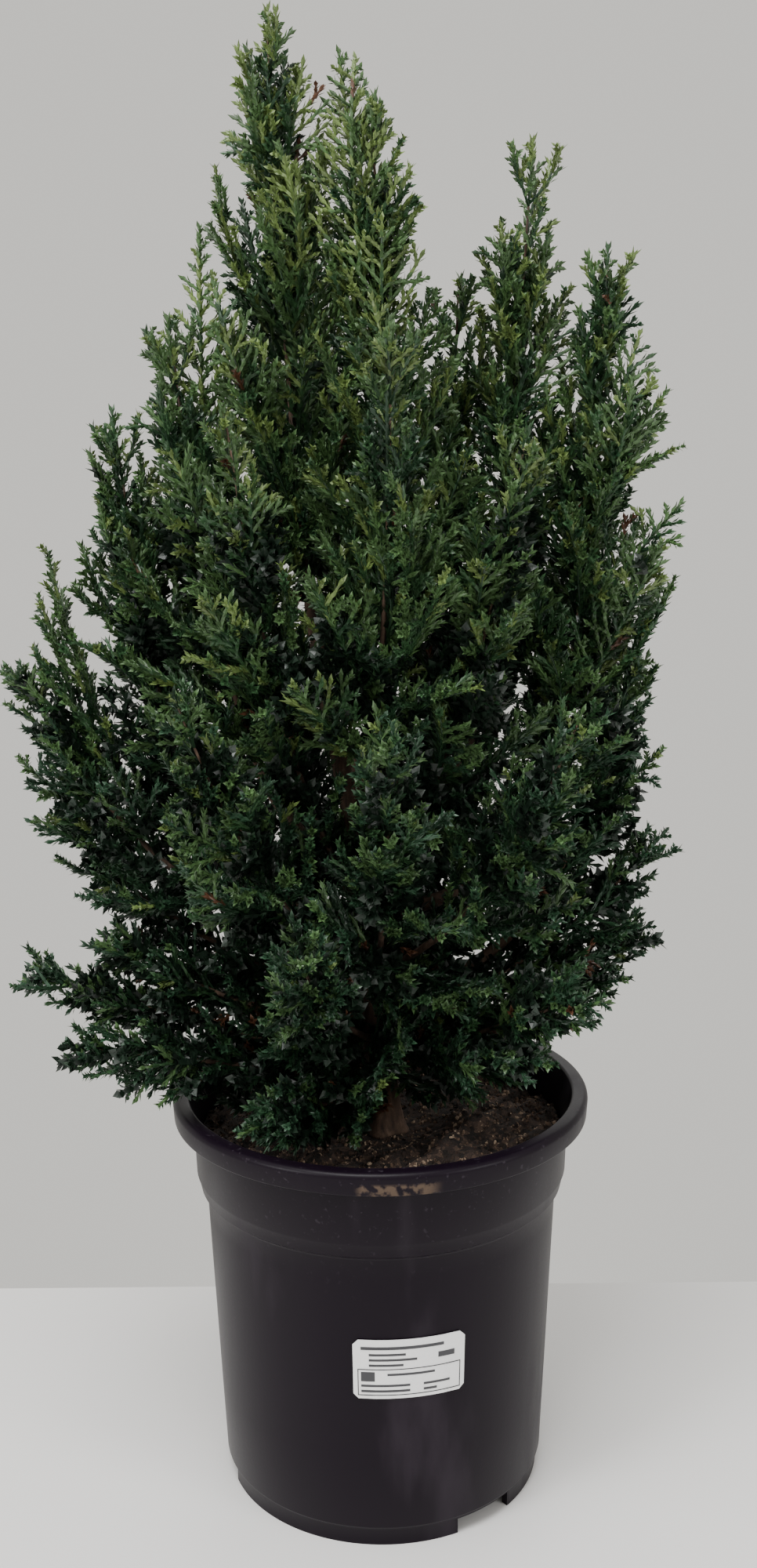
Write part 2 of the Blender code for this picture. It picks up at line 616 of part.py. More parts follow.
class Space:
    """Every mass's own space, and the limbs that no spray may touch."""

    def __init__(self):
        self.names = list(MASSES)
        self.lines = {name: mass_line(name) for name in MASSES}
        self.widths = np.array([MASSES[name][2] for name in self.names])
        self.stems = [self.sampled(self.lines[name], 16) for name in self.names]
        self.limbs = [(self.sampled(bough_line(name), 12), BOUGH_FOOT_RADIUS) for name in BOUGHS]
        low, high = TRUNK_LINE[0][2], TRUNK_LINE[-1][2]
        trunk = [trunk_point(low + (high - low) * i / 20) for i in range(21)]
        self.limbs.append((np.array([tuple(p) for p in trunk]), TRUNK_FOOT_RADIUS))

    @staticmethod
    def sampled(line, steps):
        return np.array([tuple(curve_point(line, i / steps)) for i in range(steps + 1)])

    @staticmethod
    def distance(points, chain):
        """Distance from each point to a chain of straight pieces."""
        starts, runs = chain[:-1], chain[1:] - chain[:-1]
        offsets = points[:, None, :] - starts[None]
        along = (offsets * runs).sum(-1) / np.maximum((runs ** 2).sum(-1), 1e-12)
        nearest = starts + runs * np.clip(along, 0, 1)[..., None]
        return np.linalg.norm(points[:, None, :] - nearest, axis=-1).min(axis=1)

    def keeps_to(self, name, points, margin):
        """Whether every point lies in this mass's own space, by margin inside its border."""
        own = self.names.index(name)
        away = np.stack([self.distance(points, chain) for chain in self.stems])
        mine = (away[own] + margin) / self.widths[own]
        border = (away - margin) / self.widths[:, None]
        border[own] = np.inf
        return bool((mine < border.min(axis=0)).all())

    def clears_limbs(self, points, margin):
        """Whether every point stands off the trunk and the boughs."""
        return all((self.distance(points, chain) > radius + margin).all()
                   for chain, radius in self.limbs)

    @staticmethod
    def over_soil(points):
        """Whether low points are above the soil and inside the pot, or clear outside it."""
        out = np.hypot(points[:, 0], points[:, 1])
        inside = (out < RIM_INNER_RADIUS - CLEAR_OF_WALL) & (
            points[:, 2] > SOIL_LEVEL + CLEAR_OF_SOIL)
        outside = out > RIM_RADIUS + CLEAR_OF_RIM
        above = points[:, 2] > POT_HEIGHT + CLEAR_OF_RIM
        return bool((inside | outside | above).all())


def spray_count(name):
    """Number of sprays on a mass, by its size."""
    return max(SPRAY_FEWEST, round(SPRAY_DENSITY * MASSES[name][2] * line_length(mass_line(name))))


def spray_frame(line, u, turn):
    """The stem's point and direction at u, and the way outwards for a turn about it."""
    way = curve_way(line, min(1.0, u))
    across = way.cross(UP)
    if across.length < 0.05:
        across = Vector((1, 0, 0))
    across = (across - way * across.dot(way)).normalized()
    other = way.cross(across)
    return curve_point(line, min(1.0, u)), way, across * math.cos(turn) + other * math.sin(turn)


def spray_lean(height):
    """The angle between a spray and its stem for a tip at a height."""
    low, high = SPRAY_LEAN_HEIGHTS
    share = min(1.0, max(0.0, (height - low) / (high - low)))
    return SPRAY_LEAN_LOW + (SPRAY_LEAN_HIGH - SPRAY_LEAN_LOW) * share


def spray_root(line, u, reach, length, lean):
    """Where a spray leaves its stem, for how far it reaches and how much it leans."""
    back = (reach / math.tan(lean) + SPRAY_MIN) / length
    return curve_point(line, max(0.04, u - back))


def mass_sprays(name, count):
    """Root, tip and flat side of each spray, in the order of a seeded rule."""
    _, end, width, _, extra_tips = MASSES[name]
    seed = 100 * list(MASSES).index(name)
    line = mass_line(name)
    length = line_length(line)
    sprays = []
    for i in range(count):
        draw = random.Random(seed + i)
        roll = draw.gauss(0.0, SPRAY_ROLL)
        stretch = draw.uniform(*SPRAY_STRETCH)
        if i == 0:
            u, turn, reach = 1.0, 0.0, 0.0
            tip = Vector(end)
        elif i <= len(extra_tips):
            tip = Vector(extra_tips[i - 1])
            u = nearest_share(line, tip)
            turn = 0.0
            reach = (tip - curve_point(line, u)).length
        else:
            u = SPRAY_FIRST + (SPRAY_LAST - SPRAY_FIRST) * ((0.5 + TURN_U * i) % 1.0)
            turn = 2 * math.pi * ((0.5 + TURN_V * i) % 1.0)
            reach = width * mass_outline(u) * stretch
            middle, _, outwards = spray_frame(line, u, turn)
            tip = middle + outwards * reach
        root = spray_root(line, u, reach, length, spray_lean(tip.z))
        way = (tip - root).normalized()
        outwards = spray_frame(line, u, turn)[2] if i == 0 or i > len(extra_tips) else (
            tip - curve_point(line, u))
        outwards = outwards - way * outwards.dot(way)
        if outwards.length < 1e-4:
            outwards = way.orthogonal()
        outwards.normalize()
        side = way.cross(outwards)
        side = side * math.cos(roll) + outwards * math.sin(roll)
        sprays.append((root, tip, side))
    return sprays


def nearest_share(line, point, steps=60):
    """The share of the curve's length at which it passes closest to a point."""
    gaps = [((curve_point(line, i / steps) - point).length, i / steps) for i in range(steps + 1)]
    return min(gaps)[1]


def spray_points(root, tip, side):
    """Outline points of a toothed spray from its root round to its root."""
    way = tip - root
    half = side * way.length * SPRAY_WIDTH / 2
    left = [root + way * a - half * b for a, b in SPRAY_OUTLINE]
    right = [root + way * a + half * b for a, b in reversed(SPRAY_OUTLINE)]
    return [root] + left + [tip] + right


def spray_shape(root, tip, side, swell=0.0):
    """Points and faces of a toothed blade, thickest along its ridge. The last two
    points are the ridge's. With swell it is that much stouter all round."""
    way = (tip - root).normalized()
    lift = way.cross(side).normalized() * (SPRAY_THICKNESS / 2 + swell)
    ridge = root.lerp(tip, SPRAY_RIDGE)
    points = spray_points(root, tip, side)
    if swell:
        heart = root.lerp(tip, 0.5)
        points = [p + (p - heart).normalized() * swell for p in points]
    last = len(points)
    faces = []
    for i in range(last):
        j = (i + 1) % last
        faces += [(i, j, last), (j, i, last + 1)]
    return points + [ridge + lift, ridge - lift], faces


def spray_mesh(root, tip, side):
    """A spray as a closed mesh."""
    points, faces = spray_shape(root, tip, side)
    bm = bmesh.new()
    verts = [bm.verts.new(p) for p in points]
    for face in faces:
        bm.faces.new([verts[i] for i in face])
    return mesh_from(bm, "spray")


def sample_spray(root, tip, side):
    """Points spread over a spray, for asking whether it keeps to its space."""
    rim = spray_points(root, tip, side)[1:]
    heart = root.lerp(tip, SPRAY_HEART)
    return np.array([tuple(p) for p in rim + [heart]])


class Crown:
    """What is already placed, so that no spray runs into a limb or another mass."""

    def __init__(self, space):
        self.space = space
        self.solids = []
        self.cores = {}

    def add(self, owner, points, faces):
        """Remember a solid with the box around it."""
        corners = np.array([tuple(p) for p in points])
        tree = BVHTree.FromPolygons([tuple(p) for p in points], faces)
        self.solids.append((owner, corners.min(axis=0), corners.max(axis=0), tree))

    def add_object(self, owner, obj):
        """Remember an object of the scene."""
        points = [obj.matrix_world @ vert.co for vert in obj.data.vertices]
        self.add(owner, points, [tuple(face.vertices) for face in obj.data.polygons])

    def add_core(self, name):
        """A mass's heart, drawn in wherever it meets what is already there."""
        source = MASSES[name][0] if MASSES[name][0] in BOUGHS else "trunk"
        others = [tree for owner, _, _, tree in self.solids if owner != source]
        reaches = core_reaches(name, self.space)
        for _ in range(CORE_YIELDS):
            mesh = core_mesh(name, reaches)
            points = [vert.co.copy() for vert in mesh.vertices]
            faces = [tuple(face.vertices) for face in mesh.polygons]
            tree = BVHTree.FromPolygons([tuple(p) for p in points], faces)
            struck = {mine for other in others for mine, _ in tree.overlap(other)}
            if not struck:
                break
            for vert in {corner for face in struck for corner in faces[face]}:
                ring, side = divmod(vert - 1, CORE_SIDES)
                if 0 <= ring < CORE_RINGS:
                    reaches[ring][side] *= CORE_SHRINK
        else:
            print(name, "still meets something")
        self.add(name + " core", points, faces)
        self.cores[name] = tree
        return mesh

    def seat(self, name, root, tip):
        """Where a spray's root sits: sunk into the heart, on the way from tip to stem."""
        way = root - tip
        hit = self.cores[name].ray_cast(tip, way.normalized(), way.length)[0]
        if hit is None or (hit - tip).length < SPRAY_MIN * 0.5:
            return None if (tip - root).length < SPRAY_MIN else root
        depth = min(SPRAY_SUNK, (root - hit).length)
        return hit + way.normalized() * depth

    def is_free(self, owner, root, tip, side):
        """Whether a spray touches no limb, no other mass, and no spray of its own mass
        past its own root."""
        whole = spray_shape(root, tip, side, SPRAY_CLEAR)
        outer = spray_shape(root.lerp(tip, SPRAY_RIDGE), tip, side, SPRAY_CLEAR)
        low = np.array([tuple(p) for p in whole[0]]).min(axis=0)
        high = np.array([tuple(p) for p in whole[0]]).max(axis=0)
        trees = [BVHTree.FromPolygons([tuple(p) for p in shape[0]], shape[1])
                 for shape in (whole, outer)]
        for other, box_low, box_high, tree in self.solids:
            if other == owner + " core" or (box_low > high).any() or (box_high < low).any():
                continue
            if tree.overlap(trees[1] if other == owner else trees[0]):
                return False
        return True

    def try_spray(self, name, root, tip, side):
        """The largest size of a spray that fits, or nothing."""
        root = self.seat(name, root, tip)
        if root is None:
            return None
        for size in SPRAY_SIZES:
            end = root.lerp(tip, size)
            points = sample_spray(root, end, side)
            if (end - root).length < SPRAY_MIN * 0.9:
                return None
            if not self.space.keeps_to(name, points, -SPACE_LEEWAY):
                continue
            if self.space.over_soil(points) and self.is_free(name, root, end, side):
                return root, end, side
        return None

    def grow(self):
        """Place the sprays of all the masses, one of each in turn."""
        wanted = {name: spray_count(name) for name in MASSES}
        queues = {name: mass_sprays(name, SPRAY_TRIES * wanted[name]) for name in MASSES}
        placed = {name: [] for name in MASSES}
        while any(queues.values()):
            for name, queue in queues.items():
                while queue:
                    spray = self.try_spray(name, *queue.pop(0))
                    if spray:
                        placed[name].append(spray)
                        self.add(name, *spray_shape(*spray))
                        break
                if len(placed[name]) == wanted[name]:
                    queue.clear()
        return placed


def is_closed(mesh):
    """Whether every edge joins two faces once points that touch are made one."""
    bm = bmesh.new()
    bm.from_mesh(mesh)
    bmesh.ops.remove_doubles(bm, verts=bm.verts, dist=1e-6)
    whole = all(edge.is_manifold for edge in bm.edges)
    bm.free()
    return whole


def keep_largest(obj):
    """Drop the loose scraps, and the sealed hollows, that a union can leave."""
    bm = bmesh.new()
    bm.from_mesh(obj.data)
    left = set(bm.verts)
    parts = []
    while left:
        stack = [left.pop()]
        part = set(stack)
        while stack:
            vert = stack.pop()
            for edge in vert.link_edges:
                other = edge.other_vert(vert)
                if other in left:
                    left.discard(other)
                    part.add(other)
                    stack.append(other)
        parts.append(part)
    largest = max(parts, key=len)
    loose = [vert for part in parts if part is not largest for vert in part]
    bmesh.ops.delete(bm, geom=loose, context="VERTS")
    bmesh.ops.triangulate(bm, faces=bm.faces)
    bm.to_mesh(obj.data)
    bm.free()


def make_mass(name, core, sprays, material):
    """One mass of foliage: its stem and heart with its sprays fused on by one union."""
    for solver in ("EXACT", "MANIFOLD"):
        mass = make_object(name, core.copy(), material)
        tools = bpy.data.collections.new(name + "_sprays")
        bpy.context.scene.collection.children.link(tools)
        for spray in sprays:
            tools.objects.link(bpy.data.objects.new("spray", spray_mesh(*spray)))
        boolean(mass, "UNION", collection=tools, solver=solver)
        cut_from(mass, MASSES[name][0])
        keep_largest(mass)
        if is_closed(mass.data):
            break
        if solver == "EXACT":
            bpy.data.objects.remove(mass)
    mass.data.materials.clear()
    mass.data.materials.append(material)
    print(name, "sprays", len(sprays), "triangles", len(mass.data.polygons), solver)
    return mass


def cut_from(obj, source):
    """Cut the seat of a limb out of what it grows from, GAP clear."""
    if source in BOUGHS:
        start, bend, end = bough_line(source)
        beyond = end + (end - bend).normalized() * GAP * 1.2
        mesh = limb_mesh("seat", (start, bend, beyond), BOUGH_FOOT_RADIUS + GAP * 1.5,
                         BOUGH_TIP_RADIUS + GAP * 1.5, BOUGH_SIDES, BOUGH_RINGS)
    else:
        mesh = trunk_mesh("seat", GAP * 1.5)
    boolean(obj, "DIFFERENCE", other=make_object("seat", mesh))


def make_bough(name, material):
    """One tapering bough, seated on the trunk and ending at its mass."""
    mesh = limb_mesh(name, bough_line(name), BOUGH_FOOT_RADIUS, BOUGH_TIP_RADIUS,
                     BOUGH_SIDES, BOUGH_RINGS)
    bough = make_object(name, mesh, material)
    cut_from(bough, "trunk")
    keep_largest(bough)
    bough.data.materials.clear()
    bough.data.materials.append(material)
    bough.data.shade_smooth()
    return bough


def make_trunk(material):
    """The trunk with its root flare, smooth shaded."""
    trunk = make_object("trunk", trunk_mesh("trunk"), material)
    trunk.data.shade_smooth()
    trunk.data.set_sharp_from_angle(angle=SMOOTH_TRUNK)
    return trunk


def main():
    """Build the whole plant in its pot."""
    clear_scene()
    bark = make_material("bark", BARK_COLOUR)
    light = make_material("green_light", GREEN_LIGHT)
    deep = make_material("green_deep", GREEN_DEEP)
    pot = make_pot(make_material("pot_plastic", POT_COLOUR))
    soil = make_soil(make_material("peat", SOIL_COLOUR))
    make_label(make_material("label_paper", LABEL_COLOUR))
    limbs = [make_trunk(bark)] + [make_bough(name, bark) for name in BOUGHS]
    space = Space()
    crown = Crown(space)
    for obj in [pot, soil] + limbs:
        crown.add_object(obj.name, obj)
    cores = {name: crown.add_core(name) for name in MASSES}
    sprays = crown.grow()
    for name in MASSES:
        green = light if MASSES[name][1][2] > GREEN_LIGHT_HEIGHT else deep
        make_mass(name, cores[name], sprays[name], green)


main()
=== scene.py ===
import math
import random

import bmesh
import bpy
import numpy as np
from mathutils import Euler, Matrix, Vector, noise


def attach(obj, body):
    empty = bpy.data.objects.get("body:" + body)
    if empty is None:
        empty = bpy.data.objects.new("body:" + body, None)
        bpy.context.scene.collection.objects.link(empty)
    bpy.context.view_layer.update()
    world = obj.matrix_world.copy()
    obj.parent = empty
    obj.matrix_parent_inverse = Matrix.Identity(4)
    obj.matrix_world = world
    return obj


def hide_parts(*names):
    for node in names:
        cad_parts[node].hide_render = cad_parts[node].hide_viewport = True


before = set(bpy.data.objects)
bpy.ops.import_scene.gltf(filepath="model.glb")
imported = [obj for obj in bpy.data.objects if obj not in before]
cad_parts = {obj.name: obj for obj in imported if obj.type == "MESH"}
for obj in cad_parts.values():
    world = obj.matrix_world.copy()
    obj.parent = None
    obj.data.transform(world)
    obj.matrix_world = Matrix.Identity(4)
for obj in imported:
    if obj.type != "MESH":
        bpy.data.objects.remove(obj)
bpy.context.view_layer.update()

# The potted dwarf cypress. The plant grows by the same rule as its solids: the same limbs
# and masses in the same order, each carried on to finer twigs and leaves. Metres, +Z up.

up = Vector((0, 0, 1))
fullTurn = 2 * math.pi


def between(low, high, share):
    return low + (high - low) * share


def within(value):
    # held between 0 and 1
    return min(1.0, max(0.0, value))


# Shader and geometry nodes

class Wire:
    # a socket that can stand in a sum; every sum adds its own Math node
    def __init__(self, board, socket):
        self.board = board
        self.socket = socket

    def sum(self, operation, first, second):
        return self.board.node("ShaderNodeMath", {"operation": operation}, {0: first, 1: second})

    def __add__(self, other):
        return self.sum("ADD", self, other)

    def __radd__(self, other):
        return self.sum("ADD", other, self)

    def __sub__(self, other):
        return self.sum("SUBTRACT", self, other)

    def __rsub__(self, other):
        return self.sum("SUBTRACT", other, self)

    def __mul__(self, other):
        return self.sum("MULTIPLY", self, other)

    def __rmul__(self, other):
        return self.sum("MULTIPLY", other, self)


class Board:
    # a node tree, and the one way in which nodes are put on it
    def __init__(self, tree):
        self.tree = tree

    def node(self, kind, settings=None, values=None, out=0):
        made = self.tree.nodes.new(kind)
        settings = dict(settings or {})
        stops = settings.pop("stops", None)
        for name, setting in settings.items():
            setattr(made, name, setting)
        if stops:
            ramp = made.color_ramp
            while len(ramp.elements) < len(stops):
                ramp.elements.new(0.5)
            for element, (place, colour) in zip(ramp.elements, stops):
                element.position = place
                element.color = (*colour, 1.0)
        for name, value in (values or {}).items():
            self.feed(made.inputs[name], value)
        return Wire(self, made.outputs[out])

    def feed(self, socket, value):
        if isinstance(value, Wire):
            self.tree.links.new(value.socket, socket)
        elif socket.type == "RGBA" and len(value) == 3:
            socket.default_value = (*value, 1.0)
        else:
            socket.default_value = value

    def mix(self, share, first, second):
        return self.node("ShaderNodeMix", {"data_type": "RGBA"}, {0: share, 6: first, 7: second},
                         out=2)

    def place(self):
        return self.node("ShaderNodeTexCoord", out="Object")

    def grain(self, scale, detail=2.0, where=None):
        return self.node("ShaderNodeTexNoise",
                         values={"Vector": where or self.place(), "Scale": scale, "Detail": detail})

    def step(self, value, low, high):
        return self.node("ShaderNodeMapRange", {"interpolation_type": "SMOOTHSTEP"},
                         {"Value": value, "From Min": low, "From Max": high})

    def bump(self, height, strength, distance):
        return self.node("ShaderNodeBump", values={"Height": height, "Strength": strength,
                                                   "Distance": distance})

    def ramp(self, share, stops):
        return self.node("ShaderNodeValToRGB", {"stops": stops}, {"Fac": share})

    def patches(self, scale, detail, low, high, where=None):
        # grain cut down to patches with soft edges
        return self.step(self.grain(scale, detail, where), low, high)

    def random(self, low, high, seed):
        return self.node("FunctionNodeRandomValue", {"data_type": "FLOAT"},
                         {"Min": low, "Max": high, "Seed": seed}, out=1)

    def dressed(self, placed, finish):
        # instances made real, in their finish
        real = self.node("GeometryNodeRealizeInstances", values={"Geometry": placed})
        return self.node("GeometryNodeSetMaterial", values={"Geometry": real, "Material": finish})


def newTree(name, labels):
    # a geometry tree: its board, what comes in, and one wire for each named input
    tree = bpy.data.node_groups.new(name, "GeometryNodeTree")
    tree.interface.new_socket("Geometry", in_out="INPUT", socket_type="NodeSocketGeometry")
    tree.interface.new_socket("Geometry", in_out="OUTPUT", socket_type="NodeSocketGeometry")
    for label in labels:
        tree.interface.new_socket(label, in_out="INPUT", socket_type="NodeSocketFloat")
    board = Board(tree)
    entry = board.node("NodeGroupInput")
    return board, entry, [Wire(board, entry.socket.node.outputs[label]) for label in labels]


def closeTree(board, shape):
    output = board.tree.nodes.new("NodeGroupOutput")
    board.tree.links.new(shape, output.inputs["Geometry"])
    return board.tree


def plainMesh(name, points, faces):
    mesh = bpy.data.meshes.new(name)
    mesh.from_pydata(points, [], faces)
    return mesh


def evaluatedMesh(holder):
    bpy.context.view_layer.update()
    graph = bpy.context.evaluated_depsgraph_get()
    return bpy.data.meshes.new_from_object(holder.evaluated_get(graph))


def solvedMesh(holder, tree, wanted, name):
    # the plain mesh that a tree makes on a holder, with the holder gone
    modifier = holder.modifiers.new(name, "NODES")
    modifier.node_group = tree
    for item in tree.interface.items_tree:
        if item.name in wanted:
            modifier[item.identifier] = wanted[item.name]
    mesh = evaluatedMesh(holder)
    mesh.name = name
    bpy.data.objects.remove(holder)
    return mesh


def linked(name, data):
    made = bpy.data.objects.new(name, data)
    bpy.context.scene.collection.objects.link(made)
    return made


def newFinish(name, roughness):
    material = bpy.data.materials.new(name)
    material.use_nodes = True
    board = Board(material.node_tree)
    shader = material.node_tree.nodes["Principled BSDF"]
    shader.inputs["Roughness"].default_value = roughness
    return material, board, shader


def coat(board, shader, colour, height, relief):
    # the colour, and a fine relief from a height, with its strength and depth
    board.feed(shader.inputs["Base Color"], colour)
    board.feed(shader.inputs["Normal"], board.bump(height, *relief))


# Camera: fitted to the ruler marks, the pot's rim and foot, and the label

cameraSetup = {
    "place": (0.001, -0.7885, 0.5288),
    "down": math.radians(11.96),
    "yaw": math.radians(0.03),
    "roll": math.radians(-0.54),
    "lens": 37.8,
    "sensor": 36.0,
    "nearest": 0.01,
}

stageSetup = {
    "floorColour": (0.74, 0.73, 0.72),
    "floorShade": 0.97,          # its darker patches
    "floorPatches": 3.0,
    "floorRough": 0.5,
    "wallColour": (0.705, 0.690, 0.650),
    "worldStrength": 1.13,
    "floorAcross": 6.0,
    "floorAhead": 4.0,
    "floorBehind": 0.17,
    "lampsLookAt": (0.0, 0.0, 0.35),
    "lamps": [    # name, place, size, watts
        ("lampAbove", (-0.3, -0.7, 2.0), 0.9, 44.0),
        ("lampLeft", (-1.5, -1.2, 1.2), 0.6, 19.0),
        ("lampRight", (1.5, -1.1, 1.0), 0.6, 11.0),
        ("lampBehind", (0.4, 1.9, 1.6), 1.4, 8.0),
    ],
}


def addCamera():
    setup = cameraSetup
    data = bpy.data.cameras.new("camera")
    data.lens = setup["lens"]
    data.sensor_width = setup["sensor"]
    data.clip_start = setup["nearest"]
    camera = linked("camera", data)
    turn = Euler((math.pi / 2 - setup["down"], 0, setup["yaw"])).to_matrix()
    turn = turn @ Matrix.Rotation(setup["roll"], 3, "Z")
    camera.location = setup["place"]
    camera.rotation_euler = turn.to_euler()
    bpy.context.scene.camera = camera


def addStage():
    setup = stageSetup
    half, ahead, behind = setup["floorAcross"] / 2, setup["floorAhead"], setup["floorBehind"]
    corners = [(-half, -ahead, 0), (half, -ahead, 0), (half, behind, 0), (-half, behind, 0)]
    mesh = plainMesh("floor", corners, [(0, 1, 2, 3)])
    material, board, shader = newFinish("floorFinish", setup["floorRough"])
    paint = board.mix(board.grain(setup["floorPatches"]), setup["floorColour"],
                      tuple(setup["floorShade"] * c for c in setup["floorColour"]))
    board.feed(shader.inputs["Base Color"], paint)
    mesh.materials.append(material)
    linked("floor", mesh)
    world = bpy.data.worlds.new("studio")
    world.use_nodes = True
    background = world.node_tree.nodes["Background"]
    background.inputs["Color"].default_value = (*setup["wallColour"], 1.0)
    background.inputs["Strength"].default_value = setup["worldStrength"]
    bpy.context.scene.world = world
    for name, place, size, watts in setup["lamps"]:
        lamp = bpy.data.lights.new(name, "AREA")
        lamp.size = size
        lamp.energy = watts
        holder = linked(name, lamp)
        holder.location = place
        look = Vector(setup["lampsLookAt"]) - Vector(place)
        holder.rotation_euler = look.to_track_quat("-Z", "Y").to_euler()


def addPiece(name, mesh, materials, nodes=()):
    piece = linked(name, mesh)
    if materials:
        mesh.materials.clear()
        for material in materials:
            mesh.materials.append(material)
    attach(piece, "root")
    if nodes:
        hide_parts(*nodes)


def joinedMesh(name, parts):
    # one mesh out of (points, faces) pairs
    points, faces = [], []
    for partPoints, partFaces in parts:
        first = len(points)
        points += [tuple(p) for p in partPoints]
        faces += [tuple(i + first for i in face) for face in partFaces]
    return plainMesh(name, points, faces)


def ringSpots(radius, height, sides):
    return [(radius * math.cos(fullTurn * i / sides), radius * math.sin(fullTurn * i / sides), height)
            for i in range(sides)]


def ringFaces(low, high, sides):
    # the faces between two rings, by the number of their first points
    return [(low + i, low + (i + 1) % sides, high + (i + 1) % sides, high + i)
            for i in range(sides)]


def tube(points, ways, radii, sides, relief=None):
    # points and faces of a closed limb; relief(spot) lifts its surface
    across = ways[0].orthogonal().normalized()
    made = []
    for point, way, radius in zip(points, ways, radii):
        across = (across - way * across.dot(way)).normalized()
        other = way.cross(across)
        for i in range(sides):
            turn = fullTurn * i / sides
            out = across * math.cos(turn) + other * math.sin(turn)
            reach = radius(turn) if callable(radius) else radius
            spot = point + out * reach
            if relief:
                spot = point + out * (reach + relief(spot))
            made.append(spot)
    faces = []
    for ring in range(len(points) - 1):
        faces += ringFaces(ring * sides, (ring + 1) * sides, sides)
    faces.append(tuple(reversed(range(sides))))
    faces.append(tuple(range((len(points) - 1) * sides, len(points) * sides)))
    return made, faces


# Limbs and masses, as in the solids

soilLevel = 0.1810
trunkSetup = {
    "line": [(0.001, 0.002, soilLevel + 0.0003), (0.000, 0.003, 0.215), (-0.004, 0.004, 0.270),
             (-0.012, 0.006, 0.340), (-0.024, 0.009, 0.400), (-0.032, 0.011, 0.450)],
    "footRadius": 0.0095,
    "tipRadius": 0.0030,
    "flare": 0.0055,
    "flareHeight": 0.010,
    "flareLobes": 5,
    "lobeDepth": 0.25,
    "taper": 0.85,               # below 1 the trunk thins faster low down
    "look": 0.004,               # span over which its direction is taken
    "sides": 40,
    "rings": 150,
    "crowding": 1.2,             # above 1 the rings stand closer low down
    "relief": 0.0009,
}
boughSetup = {"footRadius": 0.0042, "tipRadius": 0.0026, "sides": 14, "rings": 26,
              "relief": 0.0004}
barkSetup = {"cracksAcross": 900, "cracksAlong": 110, "grain": 1500, "grainShare": 0.35}
greenLightHeight = 0.52          # masses with tips above this are the lighter green
awayShare = 0.62                 # share of a limb's sideways travel done at its bend

boughs = {
    "bough_middle": (0.350, (0.006, -0.010, 0.436), 0.30),
    "bough_spire": (0.338, (0.028, 0.026, 0.392), 0.30),
    "bough_right": (0.316, (0.046, 0.012, 0.382), 0.28),
    "bough_far_right": (0.292, (0.084, 0.006, 0.340), 0.30),
    "bough_shoulder_left": (0.318, (-0.056, -0.010, 0.370), 0.30),
    "bough_left": (0.288, (-0.084, 0.008, 0.326), 0.30),
    "bough_side_left": (0.262, (-0.070, -0.008, 0.300), 0.35),
    "bough_side_right": (0.250, (0.066, 0.006, 0.282), 0.35),
    "bough_front": (0.330, (-0.002, -0.034, 0.372), 0.30),
    "bough_back": (0.330, (-0.012, 0.048, 0.380), 0.30),
}

